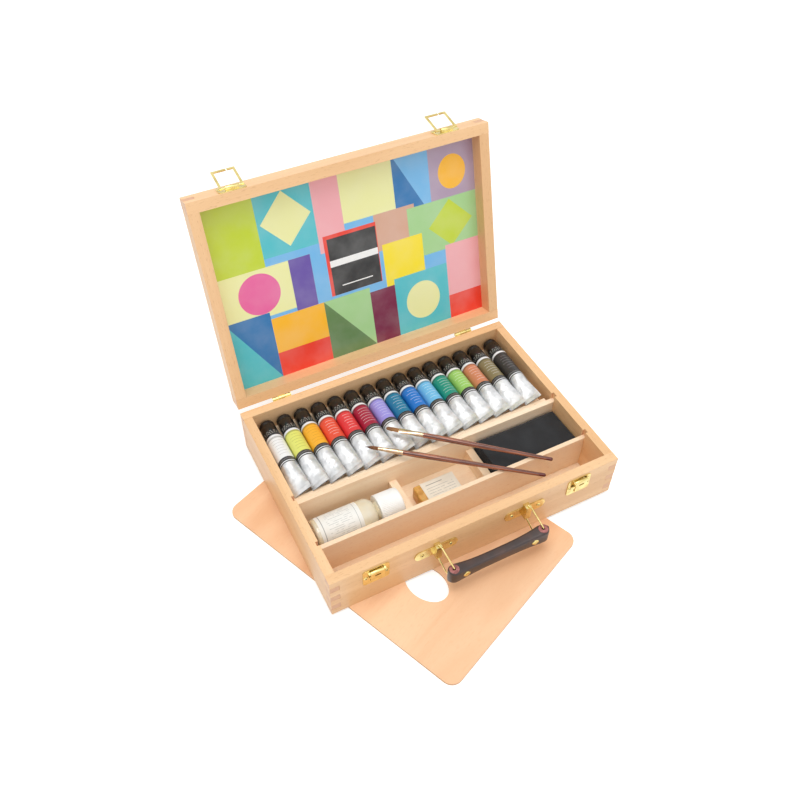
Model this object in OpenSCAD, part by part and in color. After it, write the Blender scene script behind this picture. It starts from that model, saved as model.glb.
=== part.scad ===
// Wooden paint set box standing open on its palette: hinged case, tubes, brushes, bottle, gum block and cloth.
// Lengths are millimetres and angles degrees. X runs right, Y runs back and Z runs up.
// The origin is the middle of the case's footprint, on the surface that the palette lies on.

/* [Case] */
// Outside width of the case
case_w = 340; // [334:1:370]
// Outside depth of the case
case_d = 243; // [243:1:270]
// Height of the case without its lid
case_h = 57; // [55:1:66]
// Thickness of the case's walls
case_wall = 10.5; // [9.5:0.5:12]
// Thickness of the bottom panel
base_t = 4; // [3:0.5:5]
// How far the bottom panel and the lid's panel are let into the walls
rebate_w = 5; // [3:0.5:7]
// Number of comb fingers at each corner of the case
case_fingers = 7; // [5:2:9]

/* [Inside the case] */
// Clear depth of the front compartment
front_bay = 35; // [32:0.5:40]
// Thickness of the front divider
front_divider_t = 5; // [4:0.5:7]
// Clear depth of the middle compartments
middle_bay = 55.5; // [54:0.5:57]
// Thickness of the rear divider
rear_divider_t = 6; // [4:0.5:7]
// Height of both dividers' tops above the case's underside
divider_top = 48; // [45:0.5:49]
// Depth of the slots in the side walls that hold the dividers
dado_depth = 3; // [2:0.5:4]
// Height of the two partitions' tops above the case's underside
partition_top = 23; // [18:0.5:26]
// Thickness of the two partitions
partition_t = 9; // [6:0.5:10]
// Clear width of the left, bottle compartment
bottle_bay = 106.5; // [106:0.5:110]
// Clear width of the middle, gum block compartment
gum_bay = 88.5; // [84:0.5:94]
// Thickness of the strip that the tube tails rest on
rail_t = 4; // [3:0.5:5]
// Height of that strip
rail_h = 8; // [6:0.5:12]
// Space between that strip's right end and the right wall
rail_short = 6; // [0:0.5:10]
// Height of the tube shelf's top above the case's underside
shelf_top = 28.2; // [26:0.2:30]
// Thickness of the tube shelf
shelf_t = 3; // [2:0.5:5]
// Width and height of the cleats under the shelf
cleat = 8; // [6:0.5:10]
// Distance from each end of a cleat to the rear divider or the back wall
cleat_inset = 8; // [2:1:20]

/* [Lid] */
// Height of the lid
lid_h = 21; // [21:0.5:26]
// Thickness of the lid's walls
lid_wall = 12; // [11:0.5:13]
// Thickness of the lid's panel
lid_panel_t = 3.5; // [2.5:0.5:4.5]
// Thickness of the printed sheet inside the lid
art_t = 0.5; // [0.4:0.1:1]
// Number of comb fingers at each corner of the lid
lid_fingers = 3; // [3:2:5]
// Gap between the case's rim and the shut lid's rim
lid_gap = 0.4; // [0.3:0.1:0.8]
// How far the lid stands open
lid_open = 105; // [95:1:108]

/* [Hinges] */
// Length of each hinge along the rim
hinge_w = 22; // [20:0.5:30]
// Distance of each hinge's middle from the case's middle
hinge_x = 119; // [100:1:130]
// How far each leaf reaches over the back from the rim
leaf_h = 14; // [12:0.5:16]
// Thickness of a leaf
leaf_t = 1; // [0.8:0.1:1.2]
// Outer radius of the knuckles
knuckle_r = 2.2; // [2:0.1:2.3]
// Radius of the hinge pin
pin_r = 1; // [0.8:0.1:1.2]
// Radial clearance of every pin in its bore
pin_play = 0.06; // [0.04:0.01:0.1]
// Gap between the back wall's outer face and the knuckles
knuckle_gap = 0.4; // [0.3:0.1:0.6]
// Length of each of the two outer knuckles
outer_knuckle = 7; // [6:0.5:8]
// Gap between neighbouring knuckles
knuckle_space = 0.25; // [0.2:0.05:0.4]

/* [Screws] */
// Radius of the screw heads
screw_head_r = 1.9; // [1.6:0.1:2.1]
// Radius of the screw shanks
screw_r = 0.9; // [0.7:0.1:1.2]
// Length of a screw below its head
screw_len = 6; // [4:0.5:8]
// Gap all round a screw in its hole
screw_play = 0.08; // [0.06:0.01:0.15]

/* [Catches] */
// Distance of each catch from the case's middle
catch_x = 120.5; // [105:0.5:130]
// Width of the catch plates
catch_w = 29; // [28:0.5:32]
// Height of the case's catch plates
catch_h = 24; // [22:0.5:26]
// Distance from the case's rim down to a catch plate
catch_drop = 3.5; // [3:0.5:5]
// Thickness of the catch plates
catch_t = 1; // [0.8:0.1:1.2]
// Corner radius of the catch plates
catch_corner = 3; // [1:0.5:5]
// Height of the lid's catch plates
latch_h = 15; // [13:0.5:16]
// Distance of the catch pivots in front of the plates
catch_pivot_out = 2.2; // [2.1:0.1:2.6]
// Width of the lever
lever_w = 15; // [13:0.5:15.5]
// Length of the lever from its pivot to its tip
lever_len = 13; // [11:0.5:13.5]
// Thickness of the lever and of the swinging frame
strip_t = 1.1; // [0.8:0.1:1.3]
// Outside width of the swinging frame
frame_w = 25; // [24.5:0.5:27]
// Length of the swinging frame from its pivot
frame_len = 27; // [26:0.5:29]
// Width of the swinging frame's side strips
frame_strip = 2.5; // [2:0.1:2.5]
// Angle that the resting frame leans out from the lid's front wall
frame_lean = 22; // [18:1:40]

/* [Handle] */
// Distance of each handle bracket from the case's middle
bracket_x = 53; // [45:1:60]
// Height of the bracket plates' middle above the case's underside
bracket_z = 38; // [34:0.5:40]
// Half length of a bracket plate
bracket_half = 25; // [24:0.5:28]
// Thickness of a bracket plate
bracket_t = 1.2; // [1:0.1:1.5]
// Distance of a bracket's screws from its middle
bracket_screw_x = 16.5; // [15:0.5:18]
// Height of a bracket's knuckle
bracket_knuckle_h = 19; // [16:0.5:20]
// Width of a bracket's knuckle
bracket_knuckle_w = 6.4; // [5.5:0.1:7.5]
// How far a bracket's knuckle stands out from the wall
bracket_out = 7.2; // [6.8:0.1:8.5]
// Radius of the bails' wire
wire_r = 0.8; // [0.7:0.1:1.1]
// Distance from a bail's bracket leg to its grip leg
bail_len = 24; // [22:0.5:28]
// Length of a bail's level top, which clears the bracket's knuckle
bail_shoulder = 5.5; // [5:0.5:8]
// How far the handle is swung to the right at rest
handle_swing = 13.8; // [0:0.2:20]
// How far the grip's middle lies below the bracket knuckles' middle
grip_drop = 13.3; // [12:0.1:14]
// Height of the grip at its ends
grip_h = 17.4; // [16:0.1:18]
// Radius of the grip's round ends
grip_end_r = 6.5; // [6:0.1:6.8]
// Thickness of the grip between its ends
grip_t = 10; // [9:0.5:11]
// Height of the grip between its ends
grip_mid_h = 15.5; // [14:0.5:16]
// Distance of each decorative rivet from the nearer grip pivot
rivet_inset = 12; // [11.5:0.5:16]
// Radius of the decorative rivets' heads
rivet_head_r = 4; // [3:0.1:4.5]

/* [Paint tubes] */
// How much smaller a cap's radius is than its tube's
cap_step = 0.8; // [0.5:0.1:1.4]
// Length of a cap
cap_len = 23; // [20:0.5:26]
// Space between the tubes' cap ends and the back wall
tube_end_gap = 3.2; // [1:0.1:6]
// Length over which a body flattens into its folded tail
taper_len = 46.4; // [36:0.2:56]
// Space between the last tail and the right wall
tail_room = 12; // [6:0.5:16]
// Thickness of the folded tail
crimp_t = 1.2; // [0.8:0.1:1.6]
// Length of the folded tail
crimp_len = 5.4; // [4:0.2:7]
// Angle that each tail is rolled about its tube's axis
crimp_roll = 25; // [20:1:30]
// Radius of a tube's threaded neck
neck_r = 4.5; // [4:0.1:5.5]
// Length of a tube's threaded neck
neck_len = 9; // [7:0.5:12]

/* [Brushes] */
// Length of the round brush
brush_len = 196; // [190:1:198]
// How much shorter the flat brush is than the round one
flat_shorter = 12; // [6:1:16]
// Largest radius of the handles
belly_r = 3.2; // [2.9:0.1:3.4]
// Radius of the ferrules where they hold the handle
ferrule_r = 2.8; // [2.5:0.1:2.9]
// Length of the ferrules
ferrule_len = 27; // [24:1:32]
// Length of the hair
hair_len = 14; // [10:0.5:16]
// Radius of the handles' far ends
handle_end_r = 2; // [1.5:0.1:2.4]

/* [Bottle] */
// Radius of the bottle
bottle_r = 18; // [17:0.1:18.5]
// Length of the bottle's straight side
bottle_side = 60; // [56:1:62]
// Length of the bottle's rounded shoulder
bottle_shoulder = 13; // [10:0.5:14]
// Radius of the bottle's neck
bottle_neck_r = 11; // [9:0.5:13]
// Radius of the bottle's cap
bottle_cap_r = 17; // [16:0.5:17.5]
// Length of the bottle's cap
bottle_cap_len = 27; // [24:0.5:28]

/* [Gum block and cloth] */
// Length of the gum block
gum_l = 49; // [44:1:54]
// Width of the gum block
gum_w = 30; // [26:1:34]
// Height of the gum block
gum_h = 20; // [16:1:24]
// Space between the left partition and the gum block
gum_gap = 11; // [8:1:20]
// Height of the folded cloth
cloth_h = 33; // [28:1:36]
// Space between the cloth and the walls around it
cloth_gap = 1.2; // [1:0.1:3]

/* [Palette] */
// Short side of the palette
palette_w = 219; // [210:1:225]
// Long side of the palette
palette_l = 312; // [300:1:320]
// Thickness of the palette
palette_t = 3; // [2.5:0.1:4]
// Corner radius of the palette
palette_corner = 12; // [6:1:20]
// Angle that the palette is turned under the case
palette_turn = 22.9; // [15:0.1:30]
// Place of the palette's middle, left of the case's middle
palette_left = 59.1; // [50:0.1:65]
// Place of the palette's middle, in front of the case's middle
palette_front = 57.7; // [50:0.1:65]
// Half width of the thumb hole
thumb_half_w = 18.2; // [16:0.2:20]
// Half length of the thumb hole
thumb_half_l = 25.2; // [22:0.2:28]

/* [Hidden] */
$fn = 48;
cut = 1;
seat_gap = 0.3;
piece_gap = 0.2;
side_gap = 1;

inner_w = case_w - 2 * case_wall;
inner_right = case_w - case_wall;
inner_back = case_d - case_wall;
front_divider_y = case_wall + front_bay;
middle_y = front_divider_y + front_divider_t;
rear_divider_y = middle_y + middle_bay;
rail_y = rear_divider_y + rear_divider_t;
left_partition_x = case_wall + bottle_bay;
gum_bay_x = left_partition_x + partition_t;
right_partition_x = gum_bay_x + gum_bay;
cloth_bay_x = right_partition_x + partition_t;

lid_z = case_h + lid_gap;
axis_y = case_d + knuckle_gap + knuckle_r;
axis_z = case_h + lid_gap / 2;
recess_top = lid_h - lid_panel_t - art_t;
leaf_clear = knuckle_r + 0.3;
case_screw_z = case_h - 8.5;
lid_screw_z = lid_z + 8.5;

catch_top = case_h - catch_drop;
catch_pivot_y = -(catch_t + catch_pivot_out);
lever_pivot_z = catch_top - 2.6;
catch_barrel_r = catch_pivot_out - 0.4;
catch_pin_r = catch_barrel_r - 1;
lever_ear = (frame_w / 2 - frame_strip) - 0.6;
catch_screw_x = 11.4;
catch_screw_z = catch_top - catch_h / 2;
latch_z = lid_z + 0.3;
frame_pivot_z = lid_z + 4;
frame_knuckle_w = 14;
latch_screw_z = latch_z + latch_h - 4.5;

bracket_pivot_y = -(bracket_out - 2.8);
bail_knuckle_z = bracket_z + 2;
grip_z = bail_knuckle_z - grip_drop;
grip_x = bail_len * sin(handle_swing);
grip_y = bracket_pivot_y - bail_len * cos(handle_swing);
grip_leg = grip_h / 2 + wire_r + 0.3;
elbow_r = wire_r + 0.03;
rivet_r = 1.2;
rivet_head_t = 0.9;

tube_count = 15;
taper_step = 0.1;
tail_gap = 0.5;
tail_pitch = (inner_w - side_gap - tail_room) / tube_count;
crimp_half = (tail_pitch - tail_gap) / 2;
crimp_w = 2 * (crimp_half - crimp_t / 2 * sin(crimp_roll)) / cos(crimp_roll);
crimp_rise = crimp_w / 2 * sin(crimp_roll) + crimp_t / 2 * cos(crimp_roll);
tail_x = case_wall + side_gap + crimp_half;
tail_y = rail_y + 2;
rail_sag = (rail_y + rail_t - tail_y) * 0.14;
tail_z = divider_top + seat_gap + crimp_rise + rail_sag;
tube_r = crimp_half - 0.05;
cap_r = tube_r - cap_step;
cap_room = 3.4;
cap_end_room = 3.6;
last_cap_shift = 2.8;
cap_pitch = (inner_w - cap_room - cap_end_room - 2 * tube_r) / (tube_count - 1);
cap_x = case_wall + cap_room + tube_r;
cap_z = shelf_top + seat_gap + cap_r;
tube_run = inner_back - tube_end_gap - tail_y;
tube_rise = atan2(tail_z - cap_z, tube_run);
tube_len = norm([tube_run, tail_z - cap_z]);
taper_start = tube_len - taper_len;

ridge_z = tail_z + crimp_rise;
round_tip = [101.9, 132.1];
round_end = [263, 21.8];
flat_tip = [132.8, 143.9];
flat_end = [280.6, 35.1];
flat_len = brush_len - flat_shorter;

bottle_y = middle_y + middle_bay / 2;
bottle_z = base_t + seat_gap + bottle_r;
bottle_x = case_wall + 5.5;
cap_start = bottle_x + bottle_side + bottle_shoulder + piece_gap;

wood = "burlywood";
brass = "gold";
PAINTS = [
    ["tube_white", "white"],
    ["tube_lemon", "khaki"],
    ["tube_yellow", "orange"],
    ["tube_vermilion", "tomato"],
    ["tube_red", "crimson"],
    ["tube_carmine", "brown"],
    ["tube_lilac", "mediumpurple"],
    ["tube_teal", "teal"],
    ["tube_cobalt", "royalblue"],
    ["tube_sky", "lightskyblue"],
    ["tube_emerald", "seagreen"],
    ["tube_green", "yellowgreen"],
    ["tube_terracotta", "sienna"],
    ["tube_olive", "darkolivegreen"],
    ["tube_black", "black"]
];

// Points of an arc, from angle a0 to angle a1
function arc(cx, cy, r, a0, a1, steps = 8) =
    [for (k = [0 : steps]) let (a = a0 + (a1 - a0) * k / steps) [cx + r * cos(a), cy + r * sin(a)]];

// Outline of a rectangle with round corners, centred on the origin
function rounded(w, h, r) = concat(
    arc(w / 2 - r, -h / 2 + r, r, -90, 0),
    arc(w / 2 - r, h / 2 - r, r, 0, 90),
    arc(-w / 2 + r, h / 2 - r, r, 90, 180),
    arc(-w / 2 + r, -h / 2 + r, r, 180, 270)
);

// Moves a piece from the case's front left bottom corner to the part's frame
module in_case() {
    translate([-case_w / 2, -case_d / 2, palette_t]) children();
}

// Swings a piece of the shut lid open about the hinge pins
module opened() {
    in_case() translate([0, axis_y, axis_z]) rotate([-lid_open, 0, 0]) translate([0, -axis_y, -axis_z]) children();
}

// A wall along X whose two ends are cut into comb fingers
module comb_wall(length, t, h, fingers, first) {
    pitch = h / fingers;
    difference() {
        cube([length, t, h]);
        for (i = [first : 2 : fingers - 1], x = [-cut, length - t]) {
            low = i == 0 ? -cut : i * pitch;
            high = i == fingers - 1 ? h + cut : (i + 1) * pitch;
            translate([x, -cut, low]) cube([t + cut, t + 2 * cut, high - low]);
        }
    }
}

// A screw along Z, its flat head flush with z = 0, with a cross recess
module screw(play = 0) {
    head_r = screw_head_r + play;
    r = screw_r + play;
    difference() {
        union() {
            translate([0, 0, -(head_r - r)]) cylinder(r1 = r, r2 = head_r, h = head_r - r, $fn = 24);
            translate([0, 0, -screw_len - play]) cylinder(r = r, h = screw_len, $fn = 24);
            if (play > 0) cylinder(r = head_r, h = cut, $fn = 24);
        }
        if (play == 0) for (turn = [20, 110]) {
            rotate(turn) translate([-1.2, -0.2, -0.5]) cube([2.4, 0.4, cut]);
        }
    }
}

// Places of the screws in the case, as seen from the case's corner
module at_front_screws() {
    for (side = [-1, 1]) {
        for (x = [-bracket_screw_x, bracket_screw_x]) {
            translate([case_w / 2 + side * bracket_x + x, -bracket_t, bracket_z]) rotate([90, 0, 0]) children();
        }
        for (x = [-catch_screw_x, catch_screw_x]) {
            translate([case_w / 2 + side * catch_x + x, -catch_t, catch_screw_z]) rotate([90, 0, 0]) children();
        }
    }
}

// Both screws of each leaf, at a height above the case's underside
module at_hinge_screws(z) {
    for (side = [-1, 1], x = [-6, 6]) {
        translate([case_w / 2 + side * hinge_x + x, case_d + leaf_t, z]) rotate([-90, 0, 0]) children();
    }
}

module at_latch_screws() {
    for (side = [-1, 1], x = [-catch_screw_x, catch_screw_x]) {
        translate([case_w / 2 + side * catch_x + x, -catch_t, latch_screw_z]) rotate([90, 0, 0]) children();
    }
}

// Room that is cut out of the case's walls
module base_room(over = 0) {
    inset = case_wall - rebate_w;
    translate([inset, inset, -over]) cube([case_w - 2 * inset, case_d - 2 * inset, base_t + over]);
}

module divider_slots() {
    for (slot = [[front_divider_y, front_divider_t], [rear_divider_y, rear_divider_t]]) {
        translate([case_wall - dado_depth, slot[0], base_t]) cube([inner_w + 2 * dado_depth, slot[1], case_h]);
    }
}

module case_front() {
    color(wood) in_case() difference() {
        comb_wall(case_w, case_wall, case_h, case_fingers, 1);
        base_room(cut);
        at_front_screws() screw(screw_play);
    }
}

module case_back() {
    color(wood) in_case() difference() {
        translate([0, case_d - case_wall, 0]) comb_wall(case_w, case_wall, case_h, case_fingers, 1);
        base_room(cut);
        at_hinge_screws(case_screw_z) screw(screw_play);
    }
}

module side_wall(x) {
    color(wood) in_case() difference() {
        translate([x + case_wall, 0, 0]) rotate(90) comb_wall(case_d, case_wall, case_h, case_fingers, 0);
        base_room(cut);
        divider_slots();
    }
}

module base_panel() {
    color(wood) in_case() base_room();
}

module divider(y, t) {
    color(wood) in_case() translate([case_wall - dado_depth, y, base_t])
        cube([inner_w + 2 * dado_depth, t, divider_top - base_t]);
}

module partition(x) {
    color(wood) in_case() translate([x, middle_y, base_t]) cube([partition_t, middle_bay, partition_top - base_t]);
}

module tail_rail() {
    color(wood) in_case() translate([case_wall, rail_y, divider_top - rail_h]) cube([inner_w - rail_short, rail_t, rail_h]);
}

module tube_shelf() {
    color(wood) in_case() translate([case_wall, rail_y, shelf_top - shelf_t]) cube([inner_w, inner_back - rail_y, shelf_t]);
}

module shelf_cleats() {
    length = inner_back - rail_y - 2 * cleat_inset;
    color(wood) in_case() for (x = [case_wall, inner_right - cleat]) {
        translate([x, rail_y + cleat_inset, shelf_top - shelf_t - cleat]) cube([cleat, length, cleat]);
    }
}

// One knuckle of a hinge, from x0 to x1, with its bore
module knuckle(x0, x1) {
    translate([x0, axis_y, axis_z]) rotate([0, 90, 0]) cylinder(r = knuckle_r, h = x1 - x0);
}

module hinge_bore(x) {
    translate([x - cut, axis_y, axis_z]) rotate([0, 90, 0]) cylinder(r = pin_r + pin_play, h = hinge_w + 2 * cut);
}

module case_hinge_leaves() {
    color(brass) in_case() for (side = [-1, 1]) {
        x = case_w / 2 + side * hinge_x - hinge_w / 2;
        difference() {
            union() {
                translate([x, case_d, case_h - leaf_h]) cube([hinge_w, leaf_t, axis_z - leaf_clear - case_h + leaf_h]);
                for (x0 = [x, x + hinge_w - outer_knuckle]) {
                    translate([x0, case_d, case_h - leaf_h]) cube([outer_knuckle, leaf_t, leaf_h]);
                    knuckle(x0, x0 + outer_knuckle);
                }
            }
            hinge_bore(x);
            at_hinge_screws(case_screw_z) screw(screw_play);
        }
    }
}

module lid_hinge_leaves() {
    color(brass) opened() for (side = [-1, 1]) {
        x = case_w / 2 + side * hinge_x - hinge_w / 2;
        x0 = x + outer_knuckle + knuckle_space;
        x1 = x + hinge_w - outer_knuckle - knuckle_space;
        difference() {
            union() {
                translate([x, case_d, axis_z + leaf_clear]) cube([hinge_w, leaf_t, lid_z + leaf_h - axis_z - leaf_clear]);
                translate([x0, case_d, lid_z]) cube([x1 - x0, leaf_t, leaf_h]);
                knuckle(x0, x1);
            }
            hinge_bore(x);
            at_hinge_screws(lid_screw_z) screw(screw_play);
        }
    }
}

module hinge_pins() {
    color(brass) in_case() for (side = [-1, 1]) {
        x = case_w / 2 + side * hinge_x - hinge_w / 2;
        translate([x, axis_y, axis_z]) rotate([0, 90, 0]) cylinder(r = pin_r, h = hinge_w);
    }
}

module case_screws() {
    color(brass) in_case() {
        at_front_screws() screw();
        at_hinge_screws(case_screw_z) screw();
    }
}

module lid_screws() {
    color(brass) opened() {
        at_latch_screws() screw();
        at_hinge_screws(lid_screw_z) screw();
    }
}

// A plate on the front, from z0 up, standing out of the wall by its thickness
module front_plate(x, z0, h) {
    translate([x, 0, z0 + h / 2]) rotate([90, 0, 0]) linear_extrude(catch_t) polygon(rounded(catch_w, h, catch_corner));
}

module x_cylinder(x0, x1, y, z, r) {
    translate([x0, y, z]) rotate([0, 90, 0]) cylinder(r = r, h = x1 - x0, $fn = 32);
}

module catch_plates() {
    color(brass) in_case() for (side = [-1, 1]) {
        x = case_w / 2 + side * catch_x;
        inner_ear = lever_w / 2 + piece_gap;
        difference() {
            union() {
                front_plate(x, catch_top - catch_h, catch_h);
                for (x0 = [x - lever_ear, x + inner_ear]) {
                    x_cylinder(x0, x0 + lever_ear - inner_ear, catch_pivot_y, lever_pivot_z, catch_barrel_r);
                    translate([x0, catch_pivot_y, lever_pivot_z - catch_barrel_r])
                        cube([lever_ear - inner_ear, catch_pivot_out + catch_t / 2, 2 * catch_barrel_r]);
                }
            }
            x_cylinder(x - catch_w, x + catch_w, catch_pivot_y, lever_pivot_z, catch_pin_r + pin_play);
            at_front_screws() screw(screw_play);
        }
    }
}

module lever(side) {
    x = case_w / 2 + side * catch_x;
    front = catch_pivot_y - catch_barrel_r;
    color(brass) in_case() difference() {
        union() {
            x_cylinder(x - lever_w / 2, x + lever_w / 2, catch_pivot_y, lever_pivot_z, catch_barrel_r);
            x_cylinder(x - lever_ear, x + lever_ear, catch_pivot_y, lever_pivot_z, catch_pin_r);
            translate([x - lever_w / 2, front, lever_pivot_z - lever_len]) cube([lever_w, strip_t, lever_len]);
            translate([x - lever_w / 2, front, lever_pivot_z - lever_len]) cube([lever_w, 2.6, strip_t]);
        }
        translate([x - 3, front - cut, lever_pivot_z - 5]) cube([6, strip_t + 2 * cut, 2]);
    }
}

module latch_plates() {
    color(brass) opened() for (side = [-1, 1]) {
        x = case_w / 2 + side * catch_x;
        x0 = x - frame_knuckle_w / 2;
        x1 = x + frame_knuckle_w / 2;
        difference() {
            union() {
                front_plate(x, latch_z, latch_h);
                x_cylinder(x0, x1, catch_pivot_y, frame_pivot_z, catch_barrel_r + 0.2);
                translate([x0, catch_pivot_y, frame_pivot_z - catch_barrel_r])
                    cube([x1 - x0, catch_pivot_out + catch_t / 2, 2 * catch_barrel_r]);
            }
            x_cylinder(x - catch_w, x + catch_w, catch_pivot_y, frame_pivot_z, catch_pin_r + pin_play);
            at_latch_screws() screw(screw_play);
        }
    }
}

// A rectangular frame bent from strip: a round bar in the knuckle, two sides and a far bar with a slit
module swing_frame(side) {
    x = case_w / 2 + side * catch_x;
    half = frame_w / 2;
    color(brass) opened() translate([x, catch_pivot_y, frame_pivot_z]) rotate([frame_lean - 90, 0, 0]) {
        rotate([0, 90, 0]) translate([0, 0, -half]) cylinder(r = catch_pin_r, h = frame_w, $fn = 32);
        for (x0 = [-half, half - frame_strip]) {
            translate([x0, -frame_len, -strip_t / 2]) cube([frame_strip, frame_len + catch_pin_r, strip_t]);
        }
        difference() {
            translate([-half, -frame_len, -strip_t / 2]) cube([frame_w, frame_strip, strip_t]);
            translate([3, -frame_len - cut, -strip_t]) cube([1.2, frame_strip + 2 * cut, 2 * strip_t]);
        }
    }
}

// Outline of a bracket plate's right half, from its waist round its pointed end and back
function bracket_end() = concat(
    arc(bracket_screw_x + 1.5, 0, 7, -75, -40, 4),
    arc(bracket_half - 2.6, 0, 2.6, -40, 40, 6),
    arc(bracket_screw_x + 1.5, 0, 7, 40, 75, 4)
);

// The whole outline: the left half is the right one turned half round
function bracket_outline() = concat(bracket_end(), [for (p = bracket_end()) -p]);

module handle_brackets() {
    color(brass) in_case() for (side = [-1, 1]) {
        x = case_w / 2 + side * bracket_x;
        difference() {
            union() {
                translate([x, 0, bracket_z]) rotate([90, 0, 0]) linear_extrude(bracket_t) polygon(bracket_outline());
                translate([x - bracket_knuckle_w / 2, -bracket_out, bail_knuckle_z - bracket_knuckle_h / 2])
                    cube([bracket_knuckle_w, bracket_out, bracket_knuckle_h]);
            }
            translate([x, bracket_pivot_y, 0]) cylinder(r = wire_r + pin_play, h = case_h, $fn = 32);
            at_front_screws() screw(screw_play);
        }
    }
}

// A straight piece of the bails' wire between two points of the plane x = 0, with a round elbow at its end
module wire(p, q) {
    run = q - p;
    translate([0, p[0], p[1]]) rotate([-atan2(run[0], run[1]), 0, 0]) cylinder(r = wire_r, h = norm(run), $fn = 24);
    translate([0, q[0], q[1]]) sphere(r = elbow_r, $fn = 24);
}

// A bail: one leg stands in the bracket's knuckle, the other in the grip's end
module bail(side) {
    leg = bracket_knuckle_h / 2 + wire_r + seat_gap;
    path = [
        [0, leg],
        [0, -leg],
        [-(bail_len - 11), -grip_drop - grip_leg],
        [-bail_len, -grip_drop - grip_leg],
        [-bail_len, -grip_drop + grip_leg],
        [-bail_shoulder, leg],
        [0, leg]
    ];
    color(brass) in_case() translate([case_w / 2 + side * bracket_x, bracket_pivot_y, bail_knuckle_z]) rotate(handle_swing)
        for (k = [1 : len(path) - 1]) wire(path[k - 1], path[k]);
}

module at_rivets() {
    for (side = [-1, 1]) {
        translate([case_w / 2 + grip_x + side * (bracket_x - rivet_inset), grip_y, grip_z]) rotate([90, 0, 0]) children();
    }
}

module handle_grip() {
    color("black") in_case() difference() {
        union() {
            for (side = [-1, 1]) {
                translate([case_w / 2 + grip_x + side * bracket_x, grip_y, grip_z - grip_h / 2]) cylinder(r = grip_end_r, h = grip_h);
            }
            translate([case_w / 2 + grip_x - bracket_x, grip_y, grip_z]) rotate([90, 0, 90])
                linear_extrude(2 * bracket_x) polygon(rounded(grip_t, grip_mid_h, 2.5));
        }
        for (side = [-1, 1]) {
            play = side < 0 ? pin_play : 3 * pin_play;
            translate([case_w / 2 + grip_x + side * bracket_x, grip_y, 0]) cylinder(r = wire_r + play, h = case_h, $fn = 32);
        }
        at_rivets() translate([0, 0, -grip_t]) cylinder(r = rivet_r + screw_play, h = 2 * grip_t, $fn = 24);
    }
}

module grip_rivets() {
    color(brass) in_case() at_rivets() {
        translate([0, 0, -grip_t / 2]) cylinder(r = rivet_r, h = grip_t, $fn = 24);
        for (z = [-grip_t / 2 - rivet_head_t, grip_t / 2]) {
            translate([0, 0, z]) cylinder(r = rivet_head_r, h = rivet_head_t, $fn = 32);
        }
    }
}

// Room that is cut out of the shut lid's walls
module lid_room(over = 0) {
    inset = lid_wall - rebate_w;
    translate([inset, inset, lid_z + lid_h - lid_panel_t]) cube([case_w - 2 * inset, case_d - 2 * inset, lid_panel_t + over]);
}

module lid_front() {
    color(wood) opened() difference() {
        translate([0, 0, lid_z]) comb_wall(case_w, lid_wall, lid_h, lid_fingers, 1);
        lid_room(cut);
        at_latch_screws() screw(screw_play);
    }
}

module lid_back() {
    color(wood) opened() difference() {
        translate([0, case_d - lid_wall, lid_z]) comb_wall(case_w, lid_wall, lid_h, lid_fingers, 1);
        lid_room(cut);
        at_hinge_screws(lid_screw_z) screw(screw_play);
    }
}

module lid_side(x) {
    color(wood) opened() difference() {
        translate([x + lid_wall, 0, lid_z]) rotate(90) comb_wall(case_d, lid_wall, lid_h, lid_fingers, 0);
        lid_room(cut);
    }
}

module lid_panel() {
    color(wood) opened() lid_room();
}

module art_sheet() {
    color("orchid") opened() translate([lid_wall, lid_wall, lid_z + recess_top])
        cube([case_w - 2 * lid_wall, case_d - 2 * lid_wall, art_t]);
}

// One tube with its cap, the cap's end at the origin and the tail along +Z
module tube_shape() {
    cap_bore = neck_r + 0.25;
    shoulder = cap_len + piece_gap;
    // Cap: open towards the tube, with a slightly rounded end
    rotate_extrude() polygon(concat(
        [[0, 0]],
        arc(cap_r - 1, 1, 1, -90, 0, 4),
        [[cap_r, cap_len], [cap_bore, cap_len], [cap_bore, cap_len - neck_len - 0.5], [0, cap_len - neck_len - 0.5]]
    ));
    // Neck, round shoulder and straight body
    rotate_extrude() polygon([
        [0, cap_len - neck_len],
        [neck_r, cap_len - neck_len],
        [neck_r, shoulder],
        [tube_r - 0.8, shoulder],
        [tube_r, shoulder + 0.8],
        [tube_r, taper_start],
        [0, taper_start]
    ]);
    // Side that flattens into the folded tail
    hull() {
        translate([0, 0, taper_start - 1]) cylinder(r = tube_r - taper_step, h = 1, $fn = 32);
        translate([0, 0, tube_len - crimp_len / 2]) rotate(crimp_roll) cube([crimp_w, crimp_t, crimp_len], center = true);
    }
}

module paint_tube(i) {
    shift = i == tube_count - 1 ? last_cap_shift : 0;
    x = cap_x + i * cap_pitch + shift;
    turn = asin((tail_x + i * tail_pitch - x) / tube_run);
    color(PAINTS[i][1]) in_case() translate([x, tail_y + tube_run, cap_z])
        rotate([0, 0, turn]) rotate([90 - tube_rise, 0, 0]) tube_shape();
}

// Lays a brush over the tube tails and the front divider, its far end at a point and its hair towards another
module lay_brush(towards, end, length) {
    run = (towards - end) / norm(towards - end);
    tail_rest = ridge_z + seat_gap + ferrule_r;
    front_rest = divider_top + seat_gap + belly_r;
    to_tails = (tail_y + 2 - end[1]) / run[1];
    to_divider = (front_divider_y + front_divider_t / 2 - end[1]) / run[1];
    slope = atan2(tail_rest - front_rest, to_tails - to_divider);
    tip = end + run * length * cos(slope);
    tip_z = front_rest + length * sin(slope) - to_divider * tan(slope);
    in_case() translate([tip[0], tip[1], tip_z]) rotate([0, 90 + slope, atan2(-run[1], -run[0])]) children();
}

handle_start = hair_len + ferrule_len - 6;

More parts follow.
